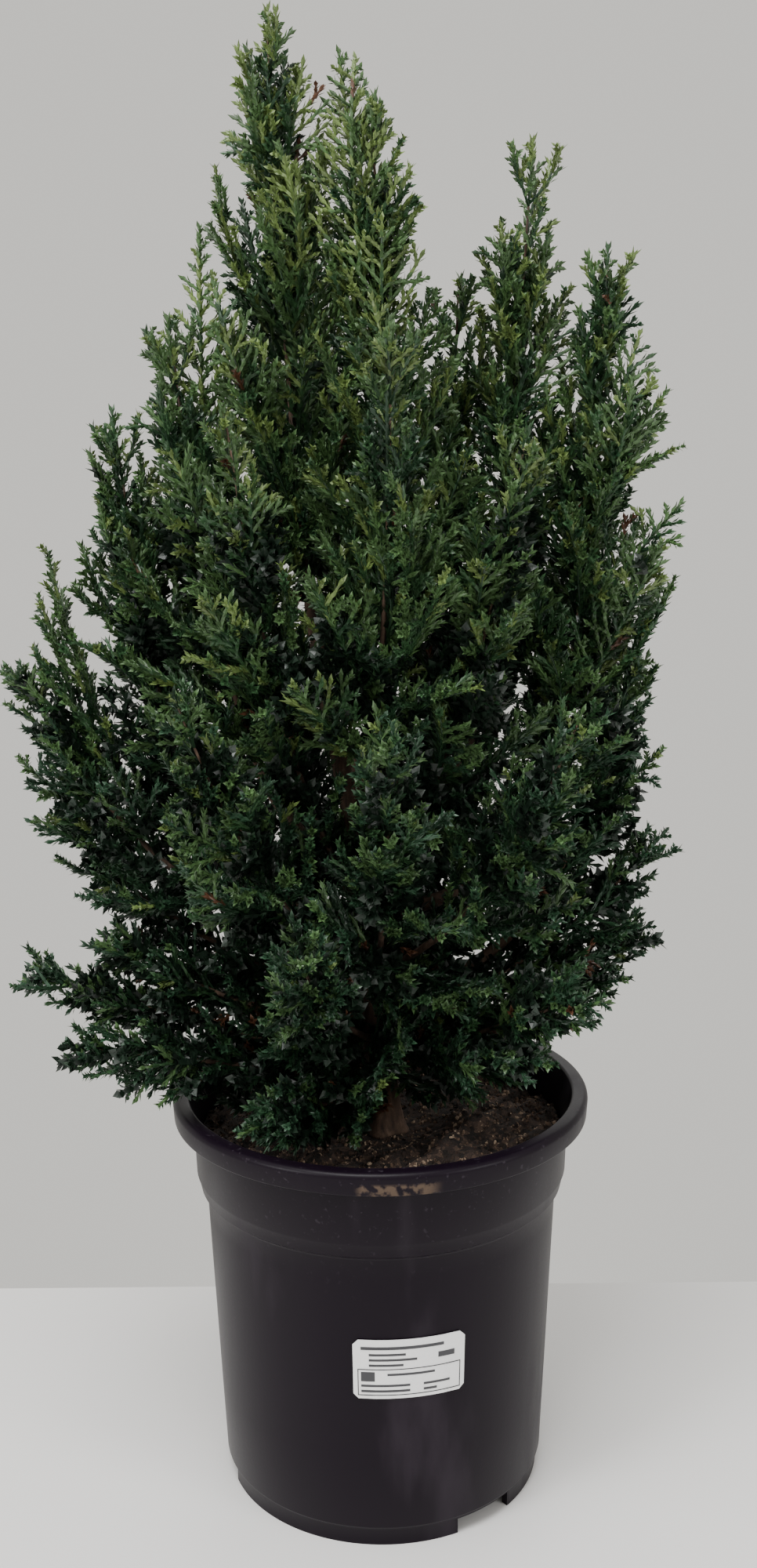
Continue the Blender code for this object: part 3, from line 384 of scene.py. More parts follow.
# What each mass grows from, its furthest tip, its half width, its climb at the bend, and
# the tips of sprays that stand out of its outline
masses = {
    "foliage_tall_plume": ("trunk", (-0.047, 0.015, 0.716), 0.054, 0.50,
                           ((-0.060, 0.012, 0.700), (-0.031, 0.014, 0.694))),
    "foliage_middle_plume": ("bough_middle", (0.001, -0.008, 0.675), 0.046, 0.50,
                             ((0.017, -0.010, 0.645), (-0.007, 0.020, 0.698),
                              (-0.015, 0.028, 0.706))),
    "foliage_spire": ("bough_spire", (0.041, 0.030, 0.600), 0.038, 0.50,
                      ((0.053, 0.030, 0.583),)),
    "foliage_right_plume": ("bough_right", (0.075, 0.022, 0.660), 0.040, 0.50,
                            ((0.061, 0.020, 0.625), (0.094, 0.024, 0.596))),
    "foliage_far_right": ("bough_far_right", (0.110, 0.012, 0.611), 0.058, 0.45,
                          ((0.116, 0.010, 0.600), (0.135, -0.004, 0.546), (0.144, 0.000, 0.522))),
    "foliage_shoulder_left": ("bough_shoulder_left", (-0.094, -0.004, 0.580), 0.052, 0.45,
                              ((-0.080, 0.010, 0.622),)),
    "foliage_left_plume": ("bough_left", (-0.122, 0.002, 0.539), 0.048, 0.45,
                           ((-0.134, 0.000, 0.522),)),
    "foliage_side_left": ("bough_side_left", (-0.170, -0.004, 0.421), 0.044, 0.45,
                          ((-0.157, -0.002, 0.484), (-0.160, -0.004, 0.455))),
    "foliage_side_left_low": (0.246, (-0.160, 0.006, 0.346), 0.036, 0.45,
                              ((-0.166, 0.000, 0.388),)),
    "foliage_low_left": (0.228, (-0.128, -0.020, 0.290), 0.034, 0.60, ()),
    "foliage_long_left": (0.213, (-0.163, -0.026, 0.274), 0.028, 0.90, ()),
    "foliage_drooping_left": (0.204, (-0.137, -0.050, 0.245), 0.034, 1.10,
                              ((-0.122, -0.052, 0.224), (-0.104, -0.054, 0.219))),
    "foliage_pot_front": (0.194, (-0.050, -0.068, 0.212), 0.034, 2.2,
                          ((-0.011, -0.072, 0.214), (-0.064, -0.062, 0.207))),
    "foliage_side_right": ("bough_side_right", (0.126, 0.004, 0.424), 0.044, 0.40,
                           ((0.127, 0.002, 0.398),)),
    "foliage_side_right_low": (0.236, (0.137, 0.004, 0.330), 0.040, 0.45,
                               ((0.133, 0.004, 0.305),)),
    "foliage_low_right": (0.210, (0.130, 0.010, 0.282), 0.034, 0.60,
                          ((0.114, 0.006, 0.254),)),
    "foliage_front_low_right": (0.222, (0.090, -0.076, 0.278), 0.042, 0.75,
                                ((0.060, -0.080, 0.246), (0.085, -0.040, 0.250))),
    "foliage_front_plume": ("bough_front", (0.008, -0.070, 0.572), 0.050, 0.40, ()),
    "foliage_front_left": (0.300, (-0.064, -0.066, 0.540), 0.046, 0.32, ()),
    "foliage_front_right": (0.306, (0.066, -0.064, 0.530), 0.046, 0.32, ()),
    "foliage_front_low_left": (0.268, (-0.086, -0.094, 0.420), 0.048, 0.40, ()),
    "foliage_front_middle": (0.256, (0.006, -0.118, 0.410), 0.048, 0.40, ()),
    "foliage_front_low_middle": (0.228, (-0.036, -0.112, 0.312), 0.042, 0.60, ()),
    "foliage_front_side_right": (0.264, (0.088, -0.090, 0.410), 0.048, 0.40, ()),
    "foliage_back_tall": ("bough_back", (-0.026, 0.082, 0.588), 0.048, 0.40, ()),
    "foliage_back_left": (0.296, (-0.092, 0.074, 0.520), 0.048, 0.32, ()),
    "foliage_back_right": (0.304, (0.086, 0.072, 0.520), 0.048, 0.32, ()),
    "foliage_back_low_left": (0.254, (-0.104, 0.086, 0.372), 0.050, 0.45, ()),
    "foliage_back_low_middle": (0.240, (0.000, 0.122, 0.390), 0.050, 0.40, ()),
    "foliage_back_low_right": (0.260, (0.098, 0.086, 0.368), 0.050, 0.45, ()),
    "foliage_back_foot": (0.216, (0.006, 0.112, 0.276), 0.044, 0.70, ()),
}


def bendPoint(start, end, climb):
    away = end - start
    return Vector((start.x + away.x * awayShare, start.y + away.y * awayShare,
                   start.z + away.z * climb * awayShare))


def curvePoint(line, t):
    start, bend, end = line
    return start * (1 - t) ** 2 + bend * 2 * t * (1 - t) + end * t ** 2


def curveWay(line, t):
    start, bend, end = line
    return ((bend - start) * (1 - t) + (end - bend) * t).normalized()


def lineLength(line, steps=12):
    points = [curvePoint(line, i / steps) for i in range(steps + 1)]
    return sum((b - a).length for a, b in zip(points, points[1:]))


def trunkPoint(height):
    points = [Vector(p) for p in trunkSetup["line"]]
    if height <= points[1].z:
        share = (height - points[0].z) / (points[1].z - points[0].z)
        return points[0].lerp(points[1], max(0.0, share))
    for before, low, high, after in zip(points, points[1:], points[2:], points[3:] + points[-1:]):
        if height <= high.z:
            t = (height - low.z) / (high.z - low.z)
            wayLow = (high - before) * (high.z - low.z) / (high.z - before.z)
            wayHigh = (after - low) * (high.z - low.z) / (after.z - low.z)
            point = (low * (2 * t ** 3 - 3 * t ** 2 + 1) + high * (3 * t ** 2 - 2 * t ** 3)
                     + wayLow * (t ** 3 - 2 * t ** 2 + t) + wayHigh * (t ** 3 - t ** 2))
            point.z = height
            return point
    return points[-1]


def trunkRadius(height, turn):
    setup = trunkSetup
    foot, top = setup["line"][0][2], setup["line"][-1][2]
    share = (height - foot) / (top - foot)
    plain = between(setup["footRadius"], setup["tipRadius"], share ** setup["taper"])
    lobes = 1 - setup["lobeDepth"] + setup["lobeDepth"] * math.cos(setup["flareLobes"] * turn)
    return plain + setup["flare"] * math.exp(-(height - foot) / setup["flareHeight"]) * lobes


def barkRelief(depth):
    # long cracks along the limb, broken up by fine grain
    setup = barkSetup
    across, along = setup["cracksAcross"], setup["cracksAlong"]

    def relief(spot):
        cracks = noise.noise(Vector((spot.x * across, spot.y * across, spot.z * along)))
        grain = noise.noise(spot * setup["grain"])
        return depth * (-abs(cracks) + setup["grainShare"] * grain)
    return relief


def boughLine(name):
    height, end, climb = boughs[name]
    start = trunkPoint(height)
    return start, bendPoint(start, Vector(end), climb), Vector(end)


def massLine(name):
    source, tip, _, climb, _ = masses[name]
    if source == "trunk":
        start = Vector(trunkSetup["line"][-1])
    elif source in boughs:
        start = Vector(boughs[source][1])
    else:
        start = trunkPoint(source)
    return start, bendPoint(start, Vector(tip), climb), Vector(tip)


def taperedLimb(line, shares, thick, thin, sides, relief=None):
    return tube([curvePoint(line, t) for t in shares], [curveWay(line, t) for t in shares],
                [between(thick, thin, t) for t in shares], sides, relief)


def trunkTube():
    setup = trunkSetup
    foot, top = setup["line"][0][2], setup["line"][-1][2]
    look = setup["look"]
    points, ways, radii = [], [], []
    for i in range(setup["rings"]):
        height = between(foot, top, (i / (setup["rings"] - 1)) ** setup["crowding"])
        points.append(trunkPoint(height))
        ahead = trunkPoint(min(top, height + look)) - trunkPoint(max(foot, height - look))
        ways.append(up.copy() if i == 0 else ahead.normalized())
        radii.append(lambda turn, at=height: trunkRadius(at, turn))
    return tube(points, ways, radii, setup["sides"], barkRelief(setup["relief"]))


def addLimbs(bark):
    setup = boughSetup
    shares = [i / (setup["rings"] - 1) for i in range(setup["rings"])]
    parts = [taperedLimb(boughLine(name), shares, setup["footRadius"], setup["tipRadius"],
                         setup["sides"], barkRelief(setup["relief"])) for name in boughs]
    for name, tubes, nodes in (("trunkBark", [trunkTube()], ["trunk"]),
                               ("boughBark", parts, list(boughs))):
        mesh = joinedMesh(name, tubes)
        mesh.shade_smooth()
        addPiece(name, mesh, [bark], nodes)
    print("limbs made")


# Sprays: flat fronds that branch to both sides, every twig clothed in leafy shoots

sprayRule = {
    "leanLow": math.radians(46),
    "leanHigh": math.radians(25),
    "leanHeights": (0.28, 0.66),
    "shortest": 0.020,
    "roll": math.radians(38),
    "first": 0.20,
    "last": 0.98,
    "lowestRoot": 0.04,
    "stretch": (0.86, 1.10),
    "turnU": 0.7548776662,
    "turnV": 0.5698402910,
    "density": 820,
    "fewest": 6,
    "widest": 0.40,              # where along its stem a mass is widest
    "swell": 0.6,
    "thin": 0.88,                # how much narrower it is at the tip
    "taper": 1.5,
    "steep": 0.05,               # a stem that leans less than this counts as upright
}
frondSetup = {
    "more": 4.15,                # fronds to each spray of the solids
    "outerShare": 0.45,          # of them, how many reach the mass's outline
    "innerReach": (0.40, 0.95),
    "leaders": 12,               # short upright fronds on the top of each stem
    "leaderFrom": 0.50,
    "leaderLean": math.radians(24),
    "leaderLength": (0.026, 0.046),
    "leaderStretch": (0.85, 1.1),
    "leaderRoll": 0.5,
    "leaderTurn": 2.4,           # turn from one leader to the next, and its spread
    "leaderDrift": 0.3,
    "leaderDrop": 0.8,           # least drop of its root below the stem's end, to its rise
    "leeway": 0.008,             # how far a frond may pass its mass's border
    "shootLeeway": 0.012,
    "seenAt": 0.7,               # where along it a frond is tested, besides its tip
    "look": 0.03,                # span over which its direction is taken
    "halfWidth": 0.29,           # half the breadth of a frond to its length
    "widest": 0.024,
    "fullAt": 0.38,              # where along a frond its side twigs are longest
    "swell": 0.7,
    "taper": 1.25,
    "narrowest": 0.16,
    "twigSpread": (0.78, 1.12),
    "twigGap": 0.0078,
    "twigRun": 0.9,              # share of a frond's length that its twigs are counted on
    "fewestTwigs": 3,            # to each side
    "hands": ((-1, 0.75), (1, 0.25)),     # the two sides, and where in a gap their twigs start
    "twigFrom": 0.10,
    "twigSpan": 0.86,
    "twigAngle": math.radians(43),
    "angleSpread": 0.10,
    "smallestShoot": 0.45,
    "overlap": 0.93,             # step from one shoot to the next, to a shoot's length
    "forkAt": 0.55,
    "forkAngle": 0.72,
    "forkSize": (0.5, 0.8),
    "tipFrom": 0.30,             # where shoots begin on the middle twig itself
    "tipStep": 0.92,
    "tipShoot": (0.35, 1.15),
    "tipPast": 0.25,             # how far the last of them may pass the tip
    "curl": 0.22,                # how much a twig bends forward at each shoot
    "lift": (-0.05, 0.30),
    "unevenness": 0.20,
    "bow": 0.07,
    "stops": (0.0, 0.35, 0.7, 0.97),      # points of the middle twig
    "stemRadius": (0.0022, 0.0004),
    "stemSpan": (0.02, 0.96),
    "stemRings": 12,
    "stemSides": 6,
    "frondRadius": (0.0009, 0.0004),
    "frondSides": 4,
}
shootSetup = {
    "length": 0.0105,
    "stemRadius": 0.00100,
    "stemSides": 3,
    "stemTip": (0.5, 0.93),      # its thinness and height at the tip
    "pairs": 4,
    "pairsFrom": 0.02,
    "pairsSpan": 0.76,
    "leafLength": 0.0045,
    "leafWidth": 0.0020,
    "leafWaist": 0.42,
    "leafRoot": 0.5,             # how far out in the stem its foot is
    "leafAngle": math.radians(26),
    "keel": 0.0003,
    "tuft": 3,
    "tuftHeight": 0.72,
    "tuftAngle": math.radians(12),
    "tuftSize": 0.85,
    "tuftTurn": 0.4,
    "scale": 1.0,
    "spread": 0.10,
    "seed": 5,
    "shadedGirth": 2.2,          # the shoots inside, painted in shade, are bushier to close the gaps
}
# Greens from the youngest tips to the dark inside, where the deep and shaded greens are painted
# shade: red, green, blue
leafColours = [
    ("leafYoung", (0.112, 0.166, 0.047)),
    ("leafBright", (0.053, 0.106, 0.035)),
    ("leafMiddle", (0.026, 0.067, 0.025)),
    ("leafBluish", (0.021, 0.056, 0.028)),
    ("leafDeep", (0.012, 0.036, 0.015)),
    ("leafShaded", (0.005, 0.014, 0.007)),
    ("leafDead", (0.085, 0.036, 0.018)),
]
young, bright, middle, bluish, deep, shaded, dead = range(len(leafColours))
shadeRule = {
    "outer": 0.8,                # reach of the fronds that are outer ones
    "inner": 0.72,               # and of those that stand in the shade
    "lowBelow": 0.30,
    "deadLow": 0.10,             # share of dead ones among the low inner fronds
    "deadElse": 0.004,
    "openAbove": 0.50,           # the plumes let light through from here up
    "openDeep": 0.55,
    "innerShaded": 0.65,
    "foot": 0.2,                 # heights between which the greens get lighter: painted light from above, besides the younger tips
    "span": 0.5,
    # by height and by reach a frond's green is painted lighter where more light falls and darker
    # inside; by place along it the tips get younger
    "byHeight": 0.55,
    "byPlace": 0.50,
    "byReach": 0.5,
    "outwards": 0.5,             # side twigs get younger towards their tips
    "outFrom": 0.3,
    "spread": 0.15,
    "less": 0.12,
    "front": -0.03,              # the front gets the most light
    "frontMore": 0.06,
    "young": 1.28,
    "bright": 1.02,
    "middle": 0.80,
    "deep": 0.62,
    "bluishBelow": 0.42,
    "bluishFrom": 0.4,
}


# Seeds: the first, and the step from one mass to the next
seeds = {"sprays": (0, 100), "leaders": (700, 40), "fronds": (9000, 500)}


def seeded(kind, name, i):
    first, step = seeds[kind]
    return random.Random(first + step * list(masses).index(name) + i)


def massOutline(u):
    rule = sprayRule
    swell = within(u / rule["widest"]) ** rule["swell"]
    beyond = max(0.0, u - rule["widest"]) / (1 - rule["widest"])
    return swell * (1.0 - rule["thin"] * beyond ** rule["taper"])


def sprayFrame(line, u, turn):
    way = curveWay(line, min(1.0, u))
    across = way.cross(up)
    if across.length < sprayRule["steep"]:
        across = Vector((1, 0, 0))
    across = (across - way * across.dot(way)).normalized()
    other = way.cross(across)
    return curvePoint(line, min(1.0, u)), way, across * math.cos(turn) + other * math.sin(turn)


def sprayLean(height):
    low, high = sprayRule["leanHeights"]
    return between(sprayRule["leanLow"], sprayRule["leanHigh"], within((height - low) / (high - low)))


def nearestShare(line, point, steps=60):
    return min(((curvePoint(line, i / steps) - point).length, i / steps)
               for i in range(steps + 1))[1]


def massSprays(name):
    # root, tip, flat side and depth in the mass, in the order of the seeded rule; the
    # first of them are the sprays of the solids
    _, end, width, _, extraTips = masses[name]
    line = massLine(name)
    length = lineLength(line)
    rule = sprayRule
    inSolid = max(rule["fewest"], round(rule["density"] * width * length))
    count = round(inSolid * frondSetup["more"])
    sprays = []
    for i in range(count):
        draw = seeded("sprays", name, i)
        roll = draw.gauss(0.0, rule["roll"])
        stretch = draw.uniform(*rule["stretch"])
        depth = 1.0
        if i > frondSetup["outerShare"] * count:
            depth = draw.uniform(*frondSetup["innerReach"])
        isNamed = i <= len(extraTips)
        if i == 0:
            u, turn, reach = 1.0, 0.0, 0.0
            tip = Vector(end)
            out = sprayFrame(line, u, turn)[2]
        elif isNamed:
            tip = Vector(extraTips[i - 1])
            u = nearestShare(line, tip)
            out = tip - curvePoint(line, u)
            reach = out.length
        else:
            u = between(rule["first"], rule["last"], (0.5 + rule["turnU"] * i) % 1.0)
            turn = fullTurn * ((0.5 + rule["turnV"] * i) % 1.0)
            reach = width * massOutline(u) * stretch * depth
            spot, _, out = sprayFrame(line, u, turn)
            tip = spot + out * reach
        back = (reach / math.tan(sprayLean(tip.z)) + rule["shortest"]) / length
        root = curvePoint(line, max(rule["lowestRoot"], u - back))
        way = (tip - root).normalized()
        out = out - way * out.dot(way)
        if out.length < 1e-4:
            out = way.orthogonal()
        out.normalize()
        side = way.cross(out)
        side = side * math.cos(roll) + out * math.sin(roll)
        sprays.append((root, tip, side.normalized(), 1.0 if isNamed else depth, isNamed))
    return sprays + leaderSprays(name, line, length)


def leaderSprays(name, line, length):
    # short upright fronds round the top of a mass's stem
    setup = frondSetup
    low, high = setup["leaderLength"]
    lean = setup["leaderLean"]
    sprays = []
    for i in range(setup["leaders"]):
        draw = seeded("leaders", name, i)
        share = setup["leaderFrom"] + (1 - setup["leaderFrom"]) * (i + 0.5) / setup["leaders"]
        run = between(high, low, share)
        u = min(share, 1.0 - setup["leaderDrop"] * run * math.cos(lean) / length)
        drift = draw.uniform(-setup["leaderDrift"], setup["leaderDrift"])
        root, way, out = sprayFrame(line, u, setup["leaderTurn"] * i + drift)
        stretch = draw.uniform(*setup["leaderStretch"])
        tip = root + (way * math.cos(lean) + out * math.sin(lean)) * run * stretch
        side = way.cross(out).normalized()
        roll = draw.gauss(0.0, setup["leaderRoll"])
        sprays.append((root, tip, side * math.cos(roll) + out * math.sin(roll), 1.0, True))
    return sprays


class Spaces:
    # how near every point is to the stem of each mass, measured in its half widths
    def __init__(self):
        self.names = list(masses)
        steps = 16
        chains = [[tuple(curvePoint(massLine(name), i / steps)) for i in range(steps + 1)]
                  for name in self.names]
        self.chains = np.array(chains)
        self.widths = np.array([masses[name][2] for name in self.names])

    def away(self, points):
        starts, runs = self.chains[:, :-1], self.chains[:, 1:] - self.chains[:, :-1]
        offsets = points[:, None, None, :] - starts[None]
        along = (offsets * runs).sum(-1) / np.maximum((runs ** 2).sum(-1), 1e-12)
        nearest = starts + runs * np.clip(along, 0, 1)[..., None]
        return np.linalg.norm(points[:, None, None, :] - nearest, axis=-1).min(axis=2)

    def keeps(self, name, points, leeway):
        own = self.names.index(name)
        away = self.away(points)
        mine = (away[:, own] - leeway) / self.widths[own]
        border = (away + leeway) / self.widths
        border[:, own] = np.inf
        return mine < border.min(axis=1)


def clearOfPot(point):
    setup = potSetup
    out = math.hypot(point.x, point.y)
    if point.z > setup["height"] + setup["clear"] or out > setup["rimRadius"] + setup["clear"]:
        return True
    inside = out < setup["rimInner"] - setup["clearInside"]
    return inside and point.z > soilLevel + setup["clearOfSoil"]


def frondShade(draw, tip, depth, along):
    # the greens are dealt out by spray, and its outer shoots are younger; the greens also carry
    # painted light, lighter high up, far out and at the front, and painted shade, darker inside
    rule = shadeRule
    chance = draw.random()
    isLowInside = depth < rule["outer"] and tip.z < rule["lowBelow"]
    if chance < (rule["deadLow"] if isLowInside else rule["deadElse"]):
        return dead
    # fronds deep inside the mass are painted in shade with the darkest greens, less dark up in the
    # open plumes
    if depth < rule["inner"] and tip.z > rule["openAbove"]:
        return deep if chance < rule["openDeep"] else middle
    if depth < rule["inner"]:
        return shaded if chance < rule["innerShaded"] else deep
    height = (tip.z - rule["foot"]) / rule["span"]
    value = (height * rule["byHeight"] + along * rule["byPlace"] + depth * rule["byReach"]
             + draw.gauss(0, rule["spread"]) - rule["less"])
    if tip.y < rule["front"]:
        value += rule["frontMore"]
    if value > rule["young"]:
        return young
    if value > rule["bright"]:
        return bright
    if value > rule["middle"]:
        return middle if tip.z > rule["bluishBelow"] or chance < rule["bluishFrom"] else bluish
    return deep if value > rule["deep"] else shaded


def sideReach(a, width):
    # how far a frond's side twigs reach at a share of its length
    full = frondSetup["fullAt"]
    if a < full:
        swell = (a / full) ** frondSetup["swell"]
    else:
        swell = 1.0 - ((a - full) / (1 - full)) ** frondSetup["taper"]
    return width * max(frondSetup["narrowest"], swell)


def growFrond(spray, draw, shoots, twigs):
    # adds to shoots (place, way, flat, size, shade), and to twigs the middle twig's points
    root, tip, side, depth = spray[:4]
    setup = frondSetup
    run = tip - root
    length = run.length
    ahead = run.normalized()
    flat = ahead.cross(side).normalized()
    bow = flat * length * draw.gauss(0, setup["bow"])
    shootLength = shootSetup["length"]

    def rachis(a):
        return root + run * a + bow * (4 * a * (1 - a))

    def rachisWay(a):
        ahead, behind = min(1.0, a + setup["look"]), max(0.0, a - setup["look"])
        return (rachis(ahead) - rachis(behind)).normalized()

    twigs.append([rachis(a) for a in setup["stops"]])
    lift = draw.uniform(*setup["lift"])
    width = min(setup["widest"], setup["halfWidth"] * length)
    smallest, largest = setup["tipShoot"]
    a = setup["tipFrom"]
    while a < 1.0:
        size = min(largest, (1.0 - a) * length / shootLength + setup["tipPast"])
        if size > smallest:
            shoots.append((rachis(a), rachisWay(a), flat, size, frondShade(draw, tip, depth, a)))
        a += setup["tipStep"] * shootLength / length
    steps = max(setup["fewestTwigs"], int(length * setup["twigRun"] / setup["twigGap"]))
    for k in range(steps):
        for hand, shift in setup["hands"]:
            a = setup["twigFrom"] + setup["twigSpan"] * (k + shift) / steps
            reach = sideReach(a, width) * draw.uniform(*setup["twigSpread"])
            reach = reach / math.sin(setup["twigAngle"])
            count = max(1, round(reach / shootLength))
            size = max(setup["smallestShoot"], reach / (count * shootLength))
            angle = setup["twigAngle"] + draw.gauss(0, setup["angleSpread"])
            spot = rachis(a)
            forward = rachisWay(a)
            way = (forward * math.cos(angle) + side * (hand * math.sin(angle))
                   + flat * (lift + draw.gauss(0, setup["unevenness"]))).normalized()
            for n in range(count):
                out = (n + 1) / count
                along = max(a, shadeRule["outwards"] * out + shadeRule["outFrom"])
                shade = frondShade(draw, tip, depth, along)
                shoots.append((spot, way, flat, size, shade))
                end = spot + way * (size * shootLength * setup["overlap"])
                if count > 1:      # every other one forks to the other side
                    hook = math.sin(setup["forkAngle"]) * (1 if (n + k) % 2 else -1)
                    fork = way * math.cos(setup["forkAngle"]) + flat.cross(way) * hook
                    shoots.append((spot.lerp(end, setup["forkAt"]), fork.normalized(), flat,
                                   size * draw.uniform(*setup["forkSize"]), shade))
                spot = end
                way = (way + forward * setup["curl"]).normalized()


def shootMesh():
    # one leafy shoot along +Z: pairs of small keeled leaves, each pair crossing the last
    setup = shootSetup
    radius, length, sides = setup["stemRadius"], setup["length"], setup["stemSides"]
    thinness, top = setup["stemTip"]
    points = ringSpots(radius, 0, sides) + ringSpots(thinness * radius, length * top, sides)
    faces = ringFaces(0, sides, sides)

    def leaf(turn, height, angle, size):
        out = Vector((math.cos(turn), math.sin(turn), 0))
        across = Vector((-math.sin(turn), math.cos(turn), 0))
        way = up * math.cos(angle) + out * math.sin(angle)
        keel = out * math.cos(angle) - up * math.sin(angle)
        foot = up * height + out * radius * setup["leafRoot"]
        half = across * setup["leafWidth"] * size / 2
        waist = (foot + way * setup["leafLength"] * size * setup["leafWaist"]
                 - keel * setup["keel"])
        first = len(points)
        points.extend(tuple(p) for p in (foot, waist + half,
                                         foot + way * setup["leafLength"] * size, waist - half))
        faces.extend([(first, first + 2, first + 1), (first, first + 3, first + 2)])

    for k in range(setup["pairs"]):
        height = length * (setup["pairsFrom"] + setup["pairsSpan"] * k / (setup["pairs"] - 1))
        for hand in (0, 1):
            turn = math.pi * hand + (math.pi / 2 if k % 2 == 0 else 0.0)
            leaf(turn, height, setup["leafAngle"], 1.0)
    for k in range(setup["tuft"]):
        leaf(fullTurn * k / setup["tuft"] + setup["tuftTurn"], length * setup["tuftHeight"],
             setup["tuftAngle"], setup["tuftSize"])
    return plainMesh("shoot", points, faces)


def leafTree(shoot, finishes):
    # a leafy shoot on every point: Way is its direction, Flat the spray's own face, and
    # Shade picks its green
    board, points, (shootSize, sizeSpread) = newTree("leafyShoots", ("Shoot Size", "Size Spread"))

    def named(name, kind):
        return board.node("GeometryNodeInputNamedAttribute", {"data_type": kind}, {"Name": name})

    turn = board.node("FunctionNodeAxesToRotation", {"primary_axis": "Z", "secondary_axis": "X"},
                      {"Primary Axis": named("way", "FLOAT_VECTOR"),
                       "Secondary Axis": named("flat", "FLOAT_VECTOR")})
    draw = board.random(1.0 - sizeSpread, 1.0 + sizeSpread, shootSetup["seed"])
    long = named("size", "FLOAT") * shootSize * draw
    model = board.node("GeometryNodeObjectInfo", values={"Object": shoot}, out="Geometry")
    joined = board.tree.nodes.new("GeometryNodeJoinGeometry")
    for k, finish in enumerate(finishes):
        girth = shootSize * (shootSetup["shadedGirth"] if k == shaded else 1.0)
        scale = board.node("ShaderNodeCombineXYZ", values={0: girth, 1: girth, 2: long})
        chosen = board.node("FunctionNodeCompare", {"data_type": "INT", "operation": "EQUAL"},
                            {2: named("shade", "INT"), 3: k})
        placed = board.node("GeometryNodeInstanceOnPoints", values={
            "Points": points, "Selection": chosen, "Instance": model, "Rotation": turn,
            "Scale": scale})
        board.tree.links.new(board.dressed(placed, finish).socket, joined.inputs[0])
    return closeTree(board, joined.outputs[0])


def massShoots(name, spaces, twigs):
    # a mass's shoots: of its fronds those that keep to its space, and of their shoots too
    setup = frondSetup
    shoots = []
    for i, spray in enumerate(massSprays(name)):
        root, tip, isNamed = spray[0], spray[1], spray[4]
        if not isNamed:
            seen = np.array([tuple(tip), tuple(root.lerp(tip, setup["seenAt"]))])
            if not spaces.keeps(name, seen, setup["leeway"]).all() or not clearOfPot(tip):
                continue
        growFrond(spray, seeded("fronds", name, i), shoots, twigs)
    ends = [spot + way * shootSetup["length"] * size for spot, way, _, size, _ in shoots]
    free = spaces.keeps(name, np.array([tuple(end) for end in ends]), setup["shootLeeway"])
    return [shoot for shoot, ok, end in zip(shoots, free, ends) if ok and clearOfPot(end)]


def shootHolder(shoots):
    # a point for each shoot, with what the tree asks about it
    places, ways, flats, sizes, shades = zip(*shoots)
    mesh = plainMesh("places", [tuple(p) for p in places], [])
    for key, kind, field, values in (
            ("way", "FLOAT_VECTOR", "vector", [c for way in ways for c in way]),
            ("flat", "FLOAT_VECTOR", "vector", [c for flat in flats for c in flat]),
            ("size", "FLOAT", "value", sizes), ("shade", "INT", "value", shades)):
        mesh.attributes.new(key, kind, "POINT").data.foreach_set(field, values)
    return linked("holder", mesh)


def frondTube(points):
    thick, thin = frondSetup["frondRadius"]
    last = len(points) - 1
    ways = [(points[min(i + 1, last)] - points[max(i - 1, 0)]).normalized()
            for i in range(last + 1)]
    radii = [thick + (thin - thick) * i / last for i in range(last + 1)]
    return tube(points, ways, radii, frondSetup["frondSides"])


def addFoliage(finishes, bark):
    setup = frondSetup
    spaces = Spaces()
    shoot = linked("shootModel", shootMesh())
    shoot.hide_render = True
    tree = leafTree(shoot, finishes)
    inputs = {"Shoot Size": shootSetup["scale"], "Size Spread": shootSetup["spread"]}
    start, span = setup["stemSpan"]
    shares = [start + span * i / (setup["stemRings"] - 1) for i in range(setup["stemRings"])]
    woody, twigs = [], []
    total = 0
    for name in masses:
        shoots = massShoots(name, spaces, twigs)
        total += len(shoots)
        leafy = solvedMesh(shootHolder(shoots), tree, inputs, name + "_leaves")
        slot = "green_light" if masses[name][1][2] > greenLightHeight else "green_deep"
        addPiece(name + "_leaves", leafy, None, [name])
        woody.append(taperedLimb(massLine(name), shares, *setup["stemRadius"], setup["stemSides"]))
    green = [frondTube(points) for points in twigs]
    for name, parts, finish, slot in (("stems", woody, bark, "bark"),
                                      ("frondTwigs", green, finishes[deep], "green_deep")):
        mesh = joinedMesh(name, parts)
        mesh.shade_smooth()
        addPiece(name, mesh, [finish])
    bpy.data.objects.remove(shoot)
    print("foliage made:", total, "shoots,", len(woody) + len(green), "twigs")


# Pot

potSetup = {
    "sides": 160,
    "height": 0.2054,
    "wall": 0.0018,
    "rimRadius": 0.1050,
    "rimDepth": 0.0110,
    "rimInner": 0.0968,
    "bandTop": 0.0950,
    "bandFoot": 0.0940,
    "bandFootHeight": 0.1650,
    "bodyTop": 0.0891,
    "bodyTopHeight": 0.1550,
    "bodyFoot": 0.0827,
    "bodyFootHeight": 0.0100,
    "foot": 0.0806,
    "footCorner": 0.001,
    "bodyStops": (0.05, 0.10, 0.145),
    "step": ((0.0005, 0.0012), (0.0030, 0.0032)),     # from the body out to the band
    "bandCorner": 0.0006,
    "rimCorner": 0.0030,
    "rimInnerCorner": 0.0015,
    "rimUndercut": 0.0013,
    "rimEdge": 0.0008,
    "rimRoot": 0.0012,
    "floorHeight": 0.0080,
    "floorThickness": 0.0025,
    "hub": 0.0200,
    "gaps": 3,
    "gapAngle": math.radians(38.5),
    "gapWidth": 0.0330,
    "gapDepth": 0.030,
    "sharpEdge": math.radians(38),
    "gapShort": 0.0003,          # how much lower the gaps are than the floor
    "clear": 0.003,              # what the leaves keep off the rim, the inside and the soil
    "clearInside": 0.005,
    "clearOfSoil": 0.009,
}


def bodyRadius(height):
    setup = potSetup
    share = (height - setup["bodyFootHeight"]) / (setup["bodyTopHeight"] - setup["bodyFootHeight"])
    return between(setup["bodyFoot"], setup["bodyTop"], share)


